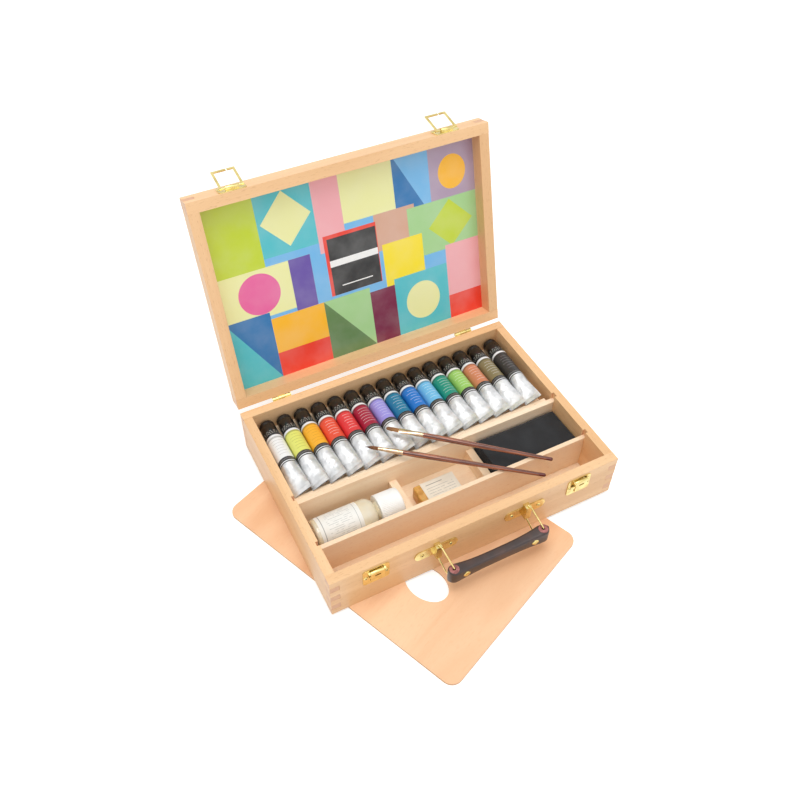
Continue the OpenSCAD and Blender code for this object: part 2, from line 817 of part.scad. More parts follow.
module brush_handle(length) {
    r0 = ferrule_r - 0.5;
    stop = hair_len + ferrule_len + piece_gap;
    body = [
        [0, handle_start],
        [r0, handle_start],
        [r0, stop],
        [ferrule_r, stop],
        [belly_r, stop + 18],
        [belly_r - 0.2, stop + 40],
        [handle_end_r + 0.4, stop + 100],
        [handle_end_r, length - handle_end_r]
    ];
    color("sienna") rotate_extrude($fn = 32) polygon(concat(body, arc(0, length - handle_end_r, handle_end_r, 15, 90, 5)));
}

module brush_ferrule(mouth_r) {
    bore = ferrule_r - 0.5 + 0.05;
    color("goldenrod") rotate_extrude($fn = 32) polygon([
        [0, hair_len],
        [mouth_r, hair_len],
        [ferrule_r, hair_len + ferrule_len * 0.8],
        [ferrule_r, hair_len + ferrule_len],
        [bore, hair_len + ferrule_len],
        [bore, handle_start - 0.1],
        [0, handle_start - 0.1]
    ]);
}

module round_brush_handle() {
    lay_brush(round_tip, round_end, brush_len) brush_handle(brush_len);
}

module round_brush_ferrule() {
    lay_brush(round_tip, round_end, brush_len) brush_ferrule(1.9);
}

module round_brush_hair() {
    color("saddlebrown") lay_brush(round_tip, round_end, brush_len) rotate_extrude($fn = 32) polygon([
        [0, 0],
        [0.3, 0.4],
        [1.5, hair_len * 0.45],
        [1.9, hair_len * 0.75],
        [1.8, hair_len],
        [0, hair_len]
    ]);
}

module flat_brush_handle() {
    lay_brush(flat_tip, flat_end, flat_len) brush_handle(flat_len);
}

module flat_brush_ferrule() {
    lay_brush(flat_tip, flat_end, flat_len) brush_ferrule(2.1);
}

module flat_brush_hair() {
    color("saddlebrown") lay_brush(flat_tip, flat_end, flat_len) hull() {
        translate([-0.4, -2.6, 0]) cube([0.8, 5.2, 0.5]);
        translate([0, 0, hair_len - 0.2]) cylinder(r = 2, h = 0.2, $fn = 24);
    }
}

module bottle() {
    neck_end = bottle_side + bottle_shoulder + bottle_cap_len - 4;
    color("khaki") in_case() translate([bottle_x, bottle_y, bottle_z]) rotate([0, 90, 0]) rotate_extrude() polygon(concat(
        [[0, 0]],
        arc(bottle_r - 2, 2, 2, -90, 0, 4),
        arc(bottle_r - bottle_shoulder + 2, bottle_side, bottle_shoulder - 2, 0, 80, 8),
        [[bottle_neck_r, bottle_side + bottle_shoulder], [bottle_neck_r, neck_end], [0, neck_end]]
    ));
}

module bottle_cap() {
    bore = bottle_neck_r + 0.2;
    floor_at = bottle_cap_len - 4 + piece_gap;
    color("white") in_case() translate([cap_start, bottle_y, bottle_z]) rotate([0, 90, 0]) rotate_extrude() polygon(concat(
        [[bore, 0], [bottle_cap_r, 0]],
        arc(bottle_cap_r - 2, bottle_cap_len - 2, 2, 0, 90, 4),
        [[0, bottle_cap_len], [0, floor_at], [bore, floor_at]]
    ));
}

module gum_block() {
    color("wheat") in_case() translate([gum_bay_x + gum_gap + gum_l / 2, middle_y + middle_bay / 2 - 5, base_t])
        linear_extrude(gum_h) polygon(rounded(gum_l, gum_w, 2));
}

module cloth() {
    w = inner_right - cloth_bay_x - 2 * cloth_gap;
    d = middle_bay - 2 * cloth_gap;
    color("dimgray") in_case() translate([cloth_bay_x + cloth_gap + w / 2, middle_y + middle_bay / 2, base_t])
        linear_extrude(cloth_h) polygon(rounded(w, d, 5));
}

module palette() {
    hole = [for (k = [0 : 47]) [thumb_half_w * cos(k * 7.5) - 38, thumb_half_l * sin(k * 7.5) - 66]];
    color("peru") translate([-palette_left, -palette_front, 0]) rotate(palette_turn) linear_extrude(palette_t) difference() {
        polygon(rounded(palette_w, palette_l, palette_corner));
        polygon(hole);
    }
}

case_front();
case_back();
side_wall(0);  // case_left
side_wall(case_w - case_wall);  // case_right
base_panel();
divider(rear_divider_y, rear_divider_t);  // rear_divider
divider(front_divider_y, front_divider_t);  // front_divider
partition(left_partition_x);  // left_partition
partition(right_partition_x);  // right_partition
tail_rail();
tube_shelf();
shelf_cleats();
case_hinge_leaves();
lid_hinge_leaves();
hinge_pins();
case_screws();
lid_screws();
catch_plates();
lever(-1);  // left_lever
lever(1);  // right_lever
latch_plates();
swing_frame(-1);  // left_frame
swing_frame(1);  // right_frame
handle_brackets();
bail(-1);  // left_bail
bail(1);  // right_bail
handle_grip();
grip_rivets();
lid_front();
lid_back();
lid_side(0);  // lid_left
lid_side(case_w - lid_wall);  // lid_right
lid_panel();
art_sheet();
for (i = [0 : tube_count - 1]) {
    paint_tube(i);
}
round_brush_handle();
round_brush_ferrule();
round_brush_hair();
flat_brush_handle();
flat_brush_ferrule();
flat_brush_hair();
bottle();
bottle_cap();
gum_block();
cloth();
palette();
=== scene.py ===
"""Looks of a wooden paint box that stands open on its palette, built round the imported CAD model.

Lengths are metres and turns are degrees, in the frame of the CAD model: +X right, +Y back, +Z up.
"""

import logging
import math
import random
from dataclasses import dataclass, field
from enum import Enum
from typing import Any, Iterable, Sequence

import bmesh
import bpy
from mathutils import Euler, Matrix, Vector, noise


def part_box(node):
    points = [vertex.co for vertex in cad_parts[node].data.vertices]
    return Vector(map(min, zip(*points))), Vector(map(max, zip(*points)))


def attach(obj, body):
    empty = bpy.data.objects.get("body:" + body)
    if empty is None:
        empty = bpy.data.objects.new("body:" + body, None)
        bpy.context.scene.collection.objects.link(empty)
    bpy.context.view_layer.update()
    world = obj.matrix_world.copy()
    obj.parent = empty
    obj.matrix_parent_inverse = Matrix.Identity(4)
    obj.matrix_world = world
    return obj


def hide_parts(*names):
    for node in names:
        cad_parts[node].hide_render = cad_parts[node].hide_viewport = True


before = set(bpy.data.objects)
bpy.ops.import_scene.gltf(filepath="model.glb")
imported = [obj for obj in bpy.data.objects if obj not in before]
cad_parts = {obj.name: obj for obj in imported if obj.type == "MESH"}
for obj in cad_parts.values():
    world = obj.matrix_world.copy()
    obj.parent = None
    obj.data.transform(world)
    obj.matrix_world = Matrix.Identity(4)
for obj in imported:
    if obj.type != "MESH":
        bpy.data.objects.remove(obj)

LOG = logging.getLogger("paint_box")
MM = 0.001
IMAGE_SIDE = 800
DOUBLE = 1e-7
WELD = 1e-6
GOLDEN_ANGLE = 2.39996

Rgba = tuple[float, float, float, float]
Operand = Any


def rgb(red: float, green: float, blue: float) -> Rgba:
    """Turns a colour as a screen shows it into the linear values that a shader reads.

    Args:
        red: Red from 0 to 255.
        green: Green from 0 to 255.
        blue: Blue from 0 to 255.

    Returns:
        The linear colour with full alpha.
    """
    linear = [((c / 255 + 0.055) / 1.055) ** 2.4 if c > 10 else c / 255 / 12.92 for c in (red, green, blue)]
    return (linear[0], linear[1], linear[2], 1.0)


class Field:
    """A socket's value that takes part in plain arithmetic while a node tree is built."""

    def __init__(self, net: "Net", socket: bpy.types.NodeSocket) -> None:
        """Keeps the socket and the net that it belongs to."""
        self.net = net
        self.socket = socket

    def __add__(self, other: Operand) -> "Field":
        """Adds."""
        return self.net.calc("ADD", self, other)

    def __sub__(self, other: Operand) -> "Field":
        """Subtracts."""
        return self.net.calc("SUBTRACT", self, other)

    def __rsub__(self, other: Operand) -> "Field":
        """Subtracts this from a number."""
        return self.net.calc("SUBTRACT", other, self)

    def __mul__(self, other: Operand) -> "Field":
        """Multiplies."""
        return self.net.calc("MULTIPLY", self, other)

    def __truediv__(self, other: Operand) -> "Field":
        """Divides."""
        return self.net.calc("DIVIDE", self, other)

    def __abs__(self) -> "Field":
        """Takes the size without its sign."""
        return self.net.calc("ABSOLUTE", self)

    __radd__ = __add__
    __rmul__ = __mul__


class Net:
    """A node tree under construction, of a material or of Geometry Nodes."""

    def __init__(self, tree: bpy.types.NodeTree) -> None:
        """Keeps the tree."""
        self.tree = tree

    def feed(self, socket: bpy.types.NodeSocket, value: Operand) -> None:
        """Links a socket to a value's socket, or sets it to a plain value.

        Args:
            socket: The input that takes the value.
            value: A Field, a socket, a number, a vector, a colour or a data block.
        """
        if isinstance(value, Field):
            value = value.socket
        if isinstance(value, bpy.types.NodeSocket):
            self.tree.links.new(value, socket)
        else:
            socket.default_value = value

    def add(self, kind: str, inputs: dict[Any, Operand] | None = None, **settings: Any) -> bpy.types.Node:
        """Adds a node.

        Args:
            kind: The node's type name.
            inputs: Values by the input's name or number.
            **settings: Properties of the node itself.

        Returns:
            The new node.
        """
        node = self.tree.nodes.new(kind)
        for key, value in settings.items():
            setattr(node, key, value)
        for key, value in (inputs or {}).items():
            self.feed(node.inputs[key], value)
        return node

    def calc(self, operation: str, *values: Operand) -> Field:
        """Adds a Math node and returns its result.

        Args:
            operation: The Math node's operation.
            *values: Its inputs in order.

        Returns:
            The result as a Field.
        """
        node = self.add("ShaderNodeMath", dict(enumerate(values)), operation=operation)
        return Field(self, node.outputs[0])

    def smooth(self, value: Operand, low: float, high: float) -> Field:
        """Rises smoothly from 0 at low to 1 at high."""
        ranges = {"Value": value, "From Min": low, "From Max": high}
        node = self.add("ShaderNodeMapRange", ranges, interpolation_type="SMOOTHSTEP")
        return Field(self, node.outputs["Result"])

    def within(self, value: Operand, low: float, high: float, soft: float) -> Field:
        """Is 1 between low and high and 0 outside, with soft edges."""
        return self.smooth(value, low - soft, low + soft) * (1.0 - self.smooth(value, high - soft, high + soft))

    def tint(self, factor: Operand, under: Operand, over: Operand, kind: str = "MIX") -> bpy.types.NodeSocket:
        """Lays one colour over another.

        Args:
            factor: How much of the upper colour shows.
            under: The lower colour.
            over: The upper colour.
            kind: The blend type.

        Returns:
            The mixed colour's socket.
        """
        node = self.add("ShaderNodeMix", {0: factor, 6: under, 7: over}, data_type="RGBA", blend_type=kind)
        return node.outputs[2]

    def stretch(self, vector: Operand, x: float, y: float, z: float) -> bpy.types.NodeSocket:
        """Scales a vector by a factor along each axis."""
        node = self.add("ShaderNodeVectorMath", {0: vector, 1: (x, y, z)}, operation="MULTIPLY")
        return node.outputs[0]

    def noise(self, vector: Operand, scale: float = 1.0, detail: float = 2.0, distortion: float = 0.0) -> Field:
        """Adds a three-dimensional noise and returns its value from 0 to 1."""
        inputs = {"Vector": vector, "Scale": scale, "Detail": detail, "Distortion": distortion}
        return Field(self, self.add("ShaderNodeTexNoise", inputs).outputs[0])

    def parts(self, vector: Operand) -> tuple[Field, Field, Field]:
        """Splits a vector into its three numbers."""
        node = self.add("ShaderNodeSeparateXYZ", {0: vector})
        return Field(self, node.outputs[0]), Field(self, node.outputs[1]), Field(self, node.outputs[2])

    def vector(self, x: Operand, y: Operand, z: Operand) -> bpy.types.NodeSocket:
        """Joins three numbers to a vector."""
        return self.add("ShaderNodeCombineXYZ", {0: x, 1: y, 2: z}).outputs[0]

    def seen(self) -> Field:
        """Is 1 for the rays that show the ground: from the camera, off gloss and through glass."""
        rays = self.add("ShaderNodeLightPath").outputs
        direct = self.calc("MAXIMUM", rays["Is Camera Ray"], rays["Is Glossy Ray"])
        return self.calc("MAXIMUM", direct, rays["Is Transmission Ray"])


class ShaderNet(Net):
    """A material under construction round its Principled shader."""

    def __init__(self, name: str, **settings: Any) -> None:
        """Starts a material.

        Args:
            name: The material's name.
            **settings: Values of the shader's sockets, with _ for a space.
        """
        self.material = bpy.data.materials.new(name)
        self.material.use_nodes = True
        super().__init__(self.material.node_tree)
        self.shader = self.tree.nodes["Principled BSDF"]
        for key, value in settings.items():
            self.feed(self.shader.inputs[key.replace("_", " ")], value)

    def coordinates(self, turn: Matrix | None = None, origin: Vector | None = None) -> bpy.types.NodeSocket:
        """Gives the piece's own coordinates, seen from a turned frame.

        Args:
            turn: The frame's axes as columns.
            origin: The frame's origin.

        Returns:
            The vector's socket.
        """
        source = self.add("ShaderNodeTexCoord").outputs["Object"]
        inputs = {"Vector": source, "Location": origin or (0, 0, 0)}
        if turn is not None:
            inputs["Rotation"] = tuple(turn.to_euler())
        return self.add("ShaderNodeMapping", inputs, vector_type="TEXTURE").outputs[0]

    def facing(self, axis: Vector) -> Field:
        """Tells how squarely the surface faces an axis of the piece, from 0 to 1."""
        normal = self.add("ShaderNodeTexCoord").outputs["Normal"]
        node = self.add("ShaderNodeVectorMath", {0: normal, 1: tuple(axis)}, operation="DOT_PRODUCT")
        return abs(Field(self, node.outputs["Value"]))

    def station(self) -> tuple[Field, Field]:
        """Gives the piece's own UV map as two numbers: round the piece and along it."""
        around, along, _ = self.parts(self.add("ShaderNodeUVMap", uv_map="UVMap").outputs[0])
        return around, along

    def cloud(self, scale: float, detail: float, low: float, high: float) -> Field:
        """Gives soft patches over the piece, from 0 to 1."""
        return self.smooth(self.noise(self.coordinates(), scale, detail), low, high)

    def bump(self, height: Operand, distance: float, strength: float = 1.0) -> None:
        """Adds a relief of that height in metres to the shader's normal."""
        inputs = {"Height": height, "Distance": distance, "Strength": strength}
        self.feed(self.shader.inputs["Normal"], self.add("ShaderNodeBump", inputs).outputs[0])

    def set(self, name: str, value: Operand) -> None:
        """Feeds a socket of the shader."""
        self.feed(self.shader.inputs[name], value)


class GeometryNet(Net):
    """A tree of Geometry Nodes under construction, with named inputs."""

    def __init__(self, name: str) -> None:
        """Starts a tree that takes and gives geometry."""
        super().__init__(bpy.data.node_groups.new(name, "GeometryNodeTree"))
        self.tree.interface.new_socket(name="Geometry", in_out="INPUT", socket_type="NodeSocketGeometry")
        self.tree.interface.new_socket(name="Geometry", in_out="OUTPUT", socket_type="NodeSocketGeometry")
        self.names: dict[str, str] = {}
        self.source: bpy.types.Node | None = None

    def take(self, name: str, default: Any) -> Field:
        """Adds a named input.

        Args:
            name: The input's name.
            default: Its default, whose type is the input's type.

        Returns:
            The input as a Field.
        """
        kinds = {int: "NodeSocketInt", float: "NodeSocketFloat", type(None): "NodeSocketMaterial"}
        item = self.tree.interface.new_socket(name=name, in_out="INPUT", socket_type=kinds[type(default)])
        if default is not None:
            item.default_value = default
        self.names[name] = item.identifier
        if self.source is None:
            self.source = self.tree.nodes.new("NodeGroupInput")
        return Field(self, self.source.outputs[name])

    def paint(self, geometry: Operand, material: Operand) -> bpy.types.NodeSocket:
        """Gives a geometry its material."""
        return self.add("GeometryNodeSetMaterial", {"Geometry": geometry, "Material": material}).outputs[0]

    def close(self, geometry: Operand, material: Operand | None = None) -> None:
        """Realizes the instances and joins the result to the output, shaded smooth and in its material where
        one is given.

        Args:
            geometry: The result.
            material: The one material of the whole, or None where its parts have their own.
        """
        real = self.add("GeometryNodeRealizeInstances", {0: geometry}).outputs[0]
        if material is not None:
            smooth = self.add("GeometryNodeSetShadeSmooth", {"Geometry": real, "Shade Smooth": True}).outputs[0]
            real = self.paint(smooth, material)
        self.add("NodeGroupOutput", {0: real})

    def grow(self, name: str, points: Sequence[Vector] = (), **values: Any) -> bpy.types.Object:
        """Runs the tree once and keeps the result as a plain mesh.

        Args:
            name: The new piece's name.
            points: Points that the tree starts from.
            **values: Values of the named inputs, with _ for a space.

        Returns:
            The new piece, with no modifier left.
        """
        seed_mesh = bpy.data.meshes.new(name + "_seed")
        seed_mesh.from_pydata([tuple(p) for p in points], [], [])
        seed = put_in_scene(name + "_seed", seed_mesh)
        modifier = seed.modifiers.new("grow", "NODES")
        modifier.node_group = self.tree
        for key, value in values.items():
            modifier[self.names[key.replace("_", " ")]] = value
        bpy.context.view_layer.update()
        mesh = modified_mesh(seed)
        seed.modifiers.remove(modifier)
        bpy.data.objects.remove(seed)
        mesh.name = name
        return put_in_scene(name, mesh)


class Skin:
    """Rings of points that become a closed, smooth piece."""

    def __init__(self) -> None:
        """Starts with nothing."""
        self.points: list[Vector] = []
        self.faces: list[tuple[int, ...]] = []
        self.marks: list[tuple[tuple[float, float], ...]] = []

    def loft(self, rings: Sequence[Sequence[Vector]], stations: Sequence[float] | None = None) -> None:
        """Joins rings of equally many points, and closes both ends.

        Args:
            rings: The rings in order.
            stations: Each ring's place along the piece, for the UV map.
        """
        stations = stations or [i / (len(rings) - 1) for i in range(len(rings))]
        first, count = len(self.points), len(rings[0])
        for ring in rings:
            self.points.extend(ring)
        for i in range(len(rings) - 1):
            for k in range(count):
                a, b = first + i * count + k, first + i * count + (k + 1) % count
                self.faces.append((a, b, b + count, a + count))
                left, right = k / count, (k + 1) / count
                low, high = stations[i], stations[i + 1]
                self.marks.append(((left, low), (right, low), (right, high), (left, high)))
        for i, station in ((0, stations[0]), (len(rings) - 1, stations[-1])):
            ring = [first + i * count + k for k in range(count)]
            face = tuple(reversed(ring)) if i == 0 else tuple(ring)
            self.faces.append(face)
            self.marks.append(tuple((0.5, station) for _ in face))

    def piece(
        self, name: str, material: bpy.types.Material, place: Matrix = Matrix(), sharp: float = 40,
    ) -> bpy.types.Object:
        """Makes the piece, with its place in its mesh.

        Args:
            name: The piece's name.
            material: Its finish.
            place: Where its own frame lies.
            sharp: Edges with a greater angle than this stay sharp.

        Returns:
            The new piece.
        """
        mesh = bpy.data.meshes.new(name)
        mesh.from_pydata([tuple(place @ p) for p in self.points], [], self.faces)
        layer = mesh.uv_layers.new(name="UVMap")
        layer.data.foreach_set("uv", [c for mark in self.marks for pair in mark for c in pair])
        finish_mesh(mesh, material, sharp)
        return put_in_scene(name, mesh)


def finish_mesh(mesh: bpy.types.Mesh, material: bpy.types.Material, sharp: float = 40) -> None:
    """Merges doubles, turns the faces outwards, shades them smooth and sets the material.

    Args:
        mesh: The mesh to finish.
        material: Its finish.
        sharp: Edges with a greater angle than this stay sharp.
    """
    work = bmesh.new()
    work.from_mesh(mesh)
    bmesh.ops.remove_doubles(work, verts=work.verts, dist=DOUBLE)
    bmesh.ops.dissolve_degenerate(work, edges=work.edges, dist=DOUBLE)
    bmesh.ops.recalc_face_normals(work, faces=work.faces)
    work.to_mesh(mesh)
    work.free()
    mesh.shade_smooth()
    mesh.set_sharp_from_angle(angle=math.radians(sharp))
    mesh.materials.clear()
    mesh.materials.append(material)


def turned(profile: Sequence[tuple[float, float]], sides: int = 48) -> tuple[list[list[Vector]], list[float]]:
    """Turns a profile of radius and height about +Z.

    Args:
        profile: Pairs of radius and height.
        sides: Points of each ring.

    Returns:
        The rings and their heights.
    """
    angles = [2 * math.pi * k / sides for k in range(sides)]
    rings = [[Vector((r * math.cos(a), r * math.sin(a), z)) for a in angles] for r, z in profile]
    return rings, [z for _, z in profile]


def fillet(
    cx: float, cy: float, r: float, start: float, end: float, steps: int = 5,
) -> list[tuple[float, float]]:
    """Gives the points of an arc, from one angle to another."""
    angles = [math.radians(start + (end - start) * k / steps) for k in range(steps + 1)]
    return [(cx + r * math.cos(a), cy + r * math.sin(a)) for a in angles]


def round_rectangle(w: float, h: float, r: float, steps: int = 5) -> list[tuple[float, float]]:
    """Gives the outline of a rectangle with round corners, centred on the origin."""
    x, y = w / 2 - r, h / 2 - r
    corners = [(x, -y, -90), (x, y, 0), (-x, y, 90), (-x, -y, 180)]
    return [p for cx, cy, a in corners for p in fillet(cx, cy, r, a, a + 90, steps)]


def put_in_scene(name: str, data: bpy.types.ID) -> bpy.types.Object:
    """Makes an object of a data block and links it to the scene."""
    piece = bpy.data.objects.new(name, data)
    bpy.context.scene.collection.objects.link(piece)
    return piece


def modified_mesh(piece: bpy.types.Object) -> bpy.types.Mesh:
    """Gives a new mesh of a piece as its modifiers shape it."""
    graph = bpy.context.evaluated_depsgraph_get()
    shaped = piece.evaluated_get(graph)
    return bpy.data.meshes.new_from_object(shaped, preserve_all_data_layers=True, depsgraph=graph)


def settle(piece: bpy.types.Object) -> None:
    """Bakes a piece's modifiers into its mesh, so that it stands alone."""
    mesh = modified_mesh(piece)
    piece.modifiers.clear()
    piece.data = mesh


@dataclass(frozen=True)
class BoxSizes:
    """The driving sizes of the box, the same as the CAD model's."""

    width: float = 340 * MM
    depth: float = 243 * MM
    wall: float = 10.5 * MM
    base: float = 4 * MM
    foot: float = 3 * MM
    front_bay: float = 35 * MM
    front_divider: float = 5 * MM
    middle_bay: float = 55.5 * MM
    rear_divider: float = 6 * MM
    divider_top: float = 48 * MM
    partition: float = 9 * MM
    bottle_bay: float = 106.5 * MM
    gum_bay: float = 88.5 * MM
    shelf_top: float = 28.2 * MM
    lid_wall: float = 12 * MM
    lid_open: float = 105.0
    seat_gap: float = 0.3 * MM

    @property
    def middle_y(self) -> float:
        """Front of the middle compartments."""
        return self.wall + self.front_bay + self.front_divider

    @property
    def rail_y(self) -> float:
        """Back of the rear divider, where the tubes' bay starts."""
        return self.middle_y + self.middle_bay + self.rear_divider

    @property
    def inner_width(self) -> float:
        """Clear width between the side walls."""
        return self.width - 2 * self.wall

    def at(self, x: float, y: float, z: float) -> Vector:
        """Moves a point from the case's front left bottom corner to the model's frame."""
        return Vector((x - self.width / 2, y - self.depth / 2, z + self.foot))

    def lid_turn(self) -> Matrix:
        """Turns a direction of the shut lid to the open one."""
        return Matrix.Rotation(math.radians(-self.lid_open), 3, "X")


BOX = BoxSizes()


class Grain(Enum):
    """The way that a board's fibres run in the shut box."""

    ACROSS = 0
    DEEP = 90


@dataclass(frozen=True)
class WoodFinish:
    """Satin-varnished beech with fine flecks, soft bands and darker end grain."""

    light: Rgba = rgb(246, 204, 156)
    dark: Rgba = rgb(231, 184, 133)
    fleck: Rgba = rgb(192, 138, 90)
    end: Rgba = rgb(218, 166, 130)
    banding: float = 38.0

    def make(self, name: str, turn: Matrix, seed: int) -> bpy.types.Material:
        """Makes the finish for one board.

        Args:
            name: The material's name.
            turn: The board's own axes, its fibres along the first.
            seed: Moves the pattern, so that no two boards are alike.

        Returns:
            The material.
        """
        draw = random.Random(seed)
        origin = Vector([draw.uniform(-3, 3) for _ in range(3)])
        tone = draw.uniform(0.96, 1.03)
        net = ShaderNet(name, Roughness=0.42, Coat_Weight=0.18, Coat_Roughness=0.28, Specular_IOR_Level=0.45)
        place = net.coordinates(turn, origin)
        bands = net.noise(net.stretch(place, 2.2, self.banding, self.banding), 1.0, 4.0, 0.35)
        fibres = net.noise(net.stretch(place, 16, 520, 520), 1.0, 3.0)
        flecks = net.noise(net.stretch(place, 190, 1150, 1150), 1.0, 1.0)
        pores = net.smooth(flecks, 0.60, 0.72)
        colour = net.tint(net.smooth(bands, 0.32, 0.66), self.light, self.dark)
        colour = net.tint(net.smooth(fibres, 0.45, 0.75) * 0.30, colour, self.dark)
        colour = net.tint(pores * 0.30, colour, self.fleck)
        ends = net.smooth(net.facing(turn @ Vector((1, 0, 0))), 0.7, 0.9)
        rings = net.smooth(net.noise(net.stretch(place, 60, 190, 190), 1.0, 3.0), 0.35, 0.7)
        end_colour = net.tint(rings * 0.5, self.end, self.dark)
        colour = net.tint(ends, colour, end_colour)
        colour = net.tint(1.0, colour, (tone, tone, tone, 1), "MULTIPLY")
        net.set("Base Color", colour)
        net.set("Roughness", 0.38 + fibres * 0.14)
        net.bump(fibres * 0.6 - pores * 0.4, 0.05 * MM, 0.6)
        return net.material


@dataclass(frozen=True)
class PlyFinish:
    """Bare sanded plywood: fine speckled faces, and plies along the edges."""

    light: Rgba = rgb(250, 208, 168)
    dark: Rgba = rgb(236, 184, 140)
    ply: Rgba = rgb(150, 98, 62)

    def make(self, name: str, turn: Matrix, thickness: float) -> bpy.types.Material:
        """Makes the finish.

        Args:
            name: The material's name.
            turn: The sheet's axes, the face's fibres along the first.
            thickness: The sheet's thickness, from z = 0.

        Returns:
            The material.
        """
        net = ShaderNet(name, Roughness=0.6, Specular_IOR_Level=0.35)
        place = net.coordinates(turn)
        bands = net.noise(net.stretch(place, 3, 22, 1), 1.0, 4.0, 0.6)
        speckle = net.noise(net.stretch(place, 150, 620, 300), 1.0, 2.0)
        colour = net.tint(net.smooth(bands, 0.3, 0.72), self.light, self.dark)
        colour = net.tint(net.smooth(speckle, 0.5, 0.75) * 0.35, colour, self.dark)
        height = net.parts(net.coordinates())[2] / thickness
        side = 1.0 - net.smooth(net.facing(Vector((0, 0, 1))), 0.3, 0.6)
        middle = net.within(height, 0.36, 0.64, 0.03)
        colour = net.tint(side * middle * 0.75, colour, self.ply)
        net.set("Base Color", colour)
        net.bump(speckle, 0.03 * MM, 0.5)
        return net.material


@dataclass(frozen=True)
class MetalFinish:
    """Plated metal with faint rubbing."""

    colour: Rgba = rgb(238, 220, 152)
    shade: Rgba = rgb(196, 172, 100)
    roughness: float = 0.2

    def make(self, name: str) -> bpy.types.Material:
        """Makes the finish under a name."""
        net = ShaderNet(name, Metallic=1.0, Roughness=self.roughness)
        place = net.coordinates()
        cloud = net.noise(place, 120, 2.0)
        net.set("Base Color", net.tint(net.smooth(cloud, 0.3, 0.7) * 0.6, self.colour, self.shade))
        net.set("Roughness", self.roughness + net.noise(place, 500, 2.0) * 0.06)
        net.bump(net.noise(place, 500, 1.0), 0.004 * MM, 0.3)
        return net.material


@dataclass(frozen=True)
class PlasticFinish:
    """Moulded plastic with a faint orange-peel surface."""

    colour: Rgba
    roughness: float = 0.25
    coat: float = 0.3
    mottle: float = 0.1

    def make(self, name: str) -> bpy.types.Material:
        """Makes the finish under a name."""
        net = ShaderNet(name, Coat_Weight=self.coat, Coat_Roughness=0.12)
        place = net.coordinates()
        cloud = net.smooth(net.noise(place, 220, 2.0), 0.3, 0.7)
        darker = tuple((1 - self.mottle) * c for c in self.colour[:3]) + (1,)
        net.set("Base Color", net.tint(cloud, self.colour, darker))
        net.set("Roughness", self.roughness + cloud * 0.07)
        net.bump(net.noise(place, 1500, 1.0), 0.006 * MM, 0.4)
        return net.material


@dataclass(frozen=True)
class CapFinish:
    """Glossy black plastic with rows of plain light ticks round the cap's foot."""

    colour: Rgba = rgb(11, 12, 15)
    mark: Rgba = rgb(176, 175, 168)
    rows: tuple[float, ...] = (19.6 * MM, 21.8 * MM, 23.8 * MM)

    def make(self, name: str) -> bpy.types.Material:
        """Makes the finish, whose UV map gives metres along the cap and the turn round it."""
        net = ShaderNet(name, Roughness=0.28, Coat_Weight=0.15, Coat_Roughness=0.12)
        around, along = net.station()
        colour = self.colour
        for number, row in enumerate(self.rows):
            ticks = net.within(net.calc("FRACT", around * (13.0 + 5.0 * number)), 0.2, 0.72, 0.04)
            band = net.within(along, row - 0.5 * MM, row + 0.5 * MM, 0.12 * MM)
            colour = net.tint(band * ticks * 0.7, colour, self.mark)
        net.set("Base Color", colour)
        return net.material


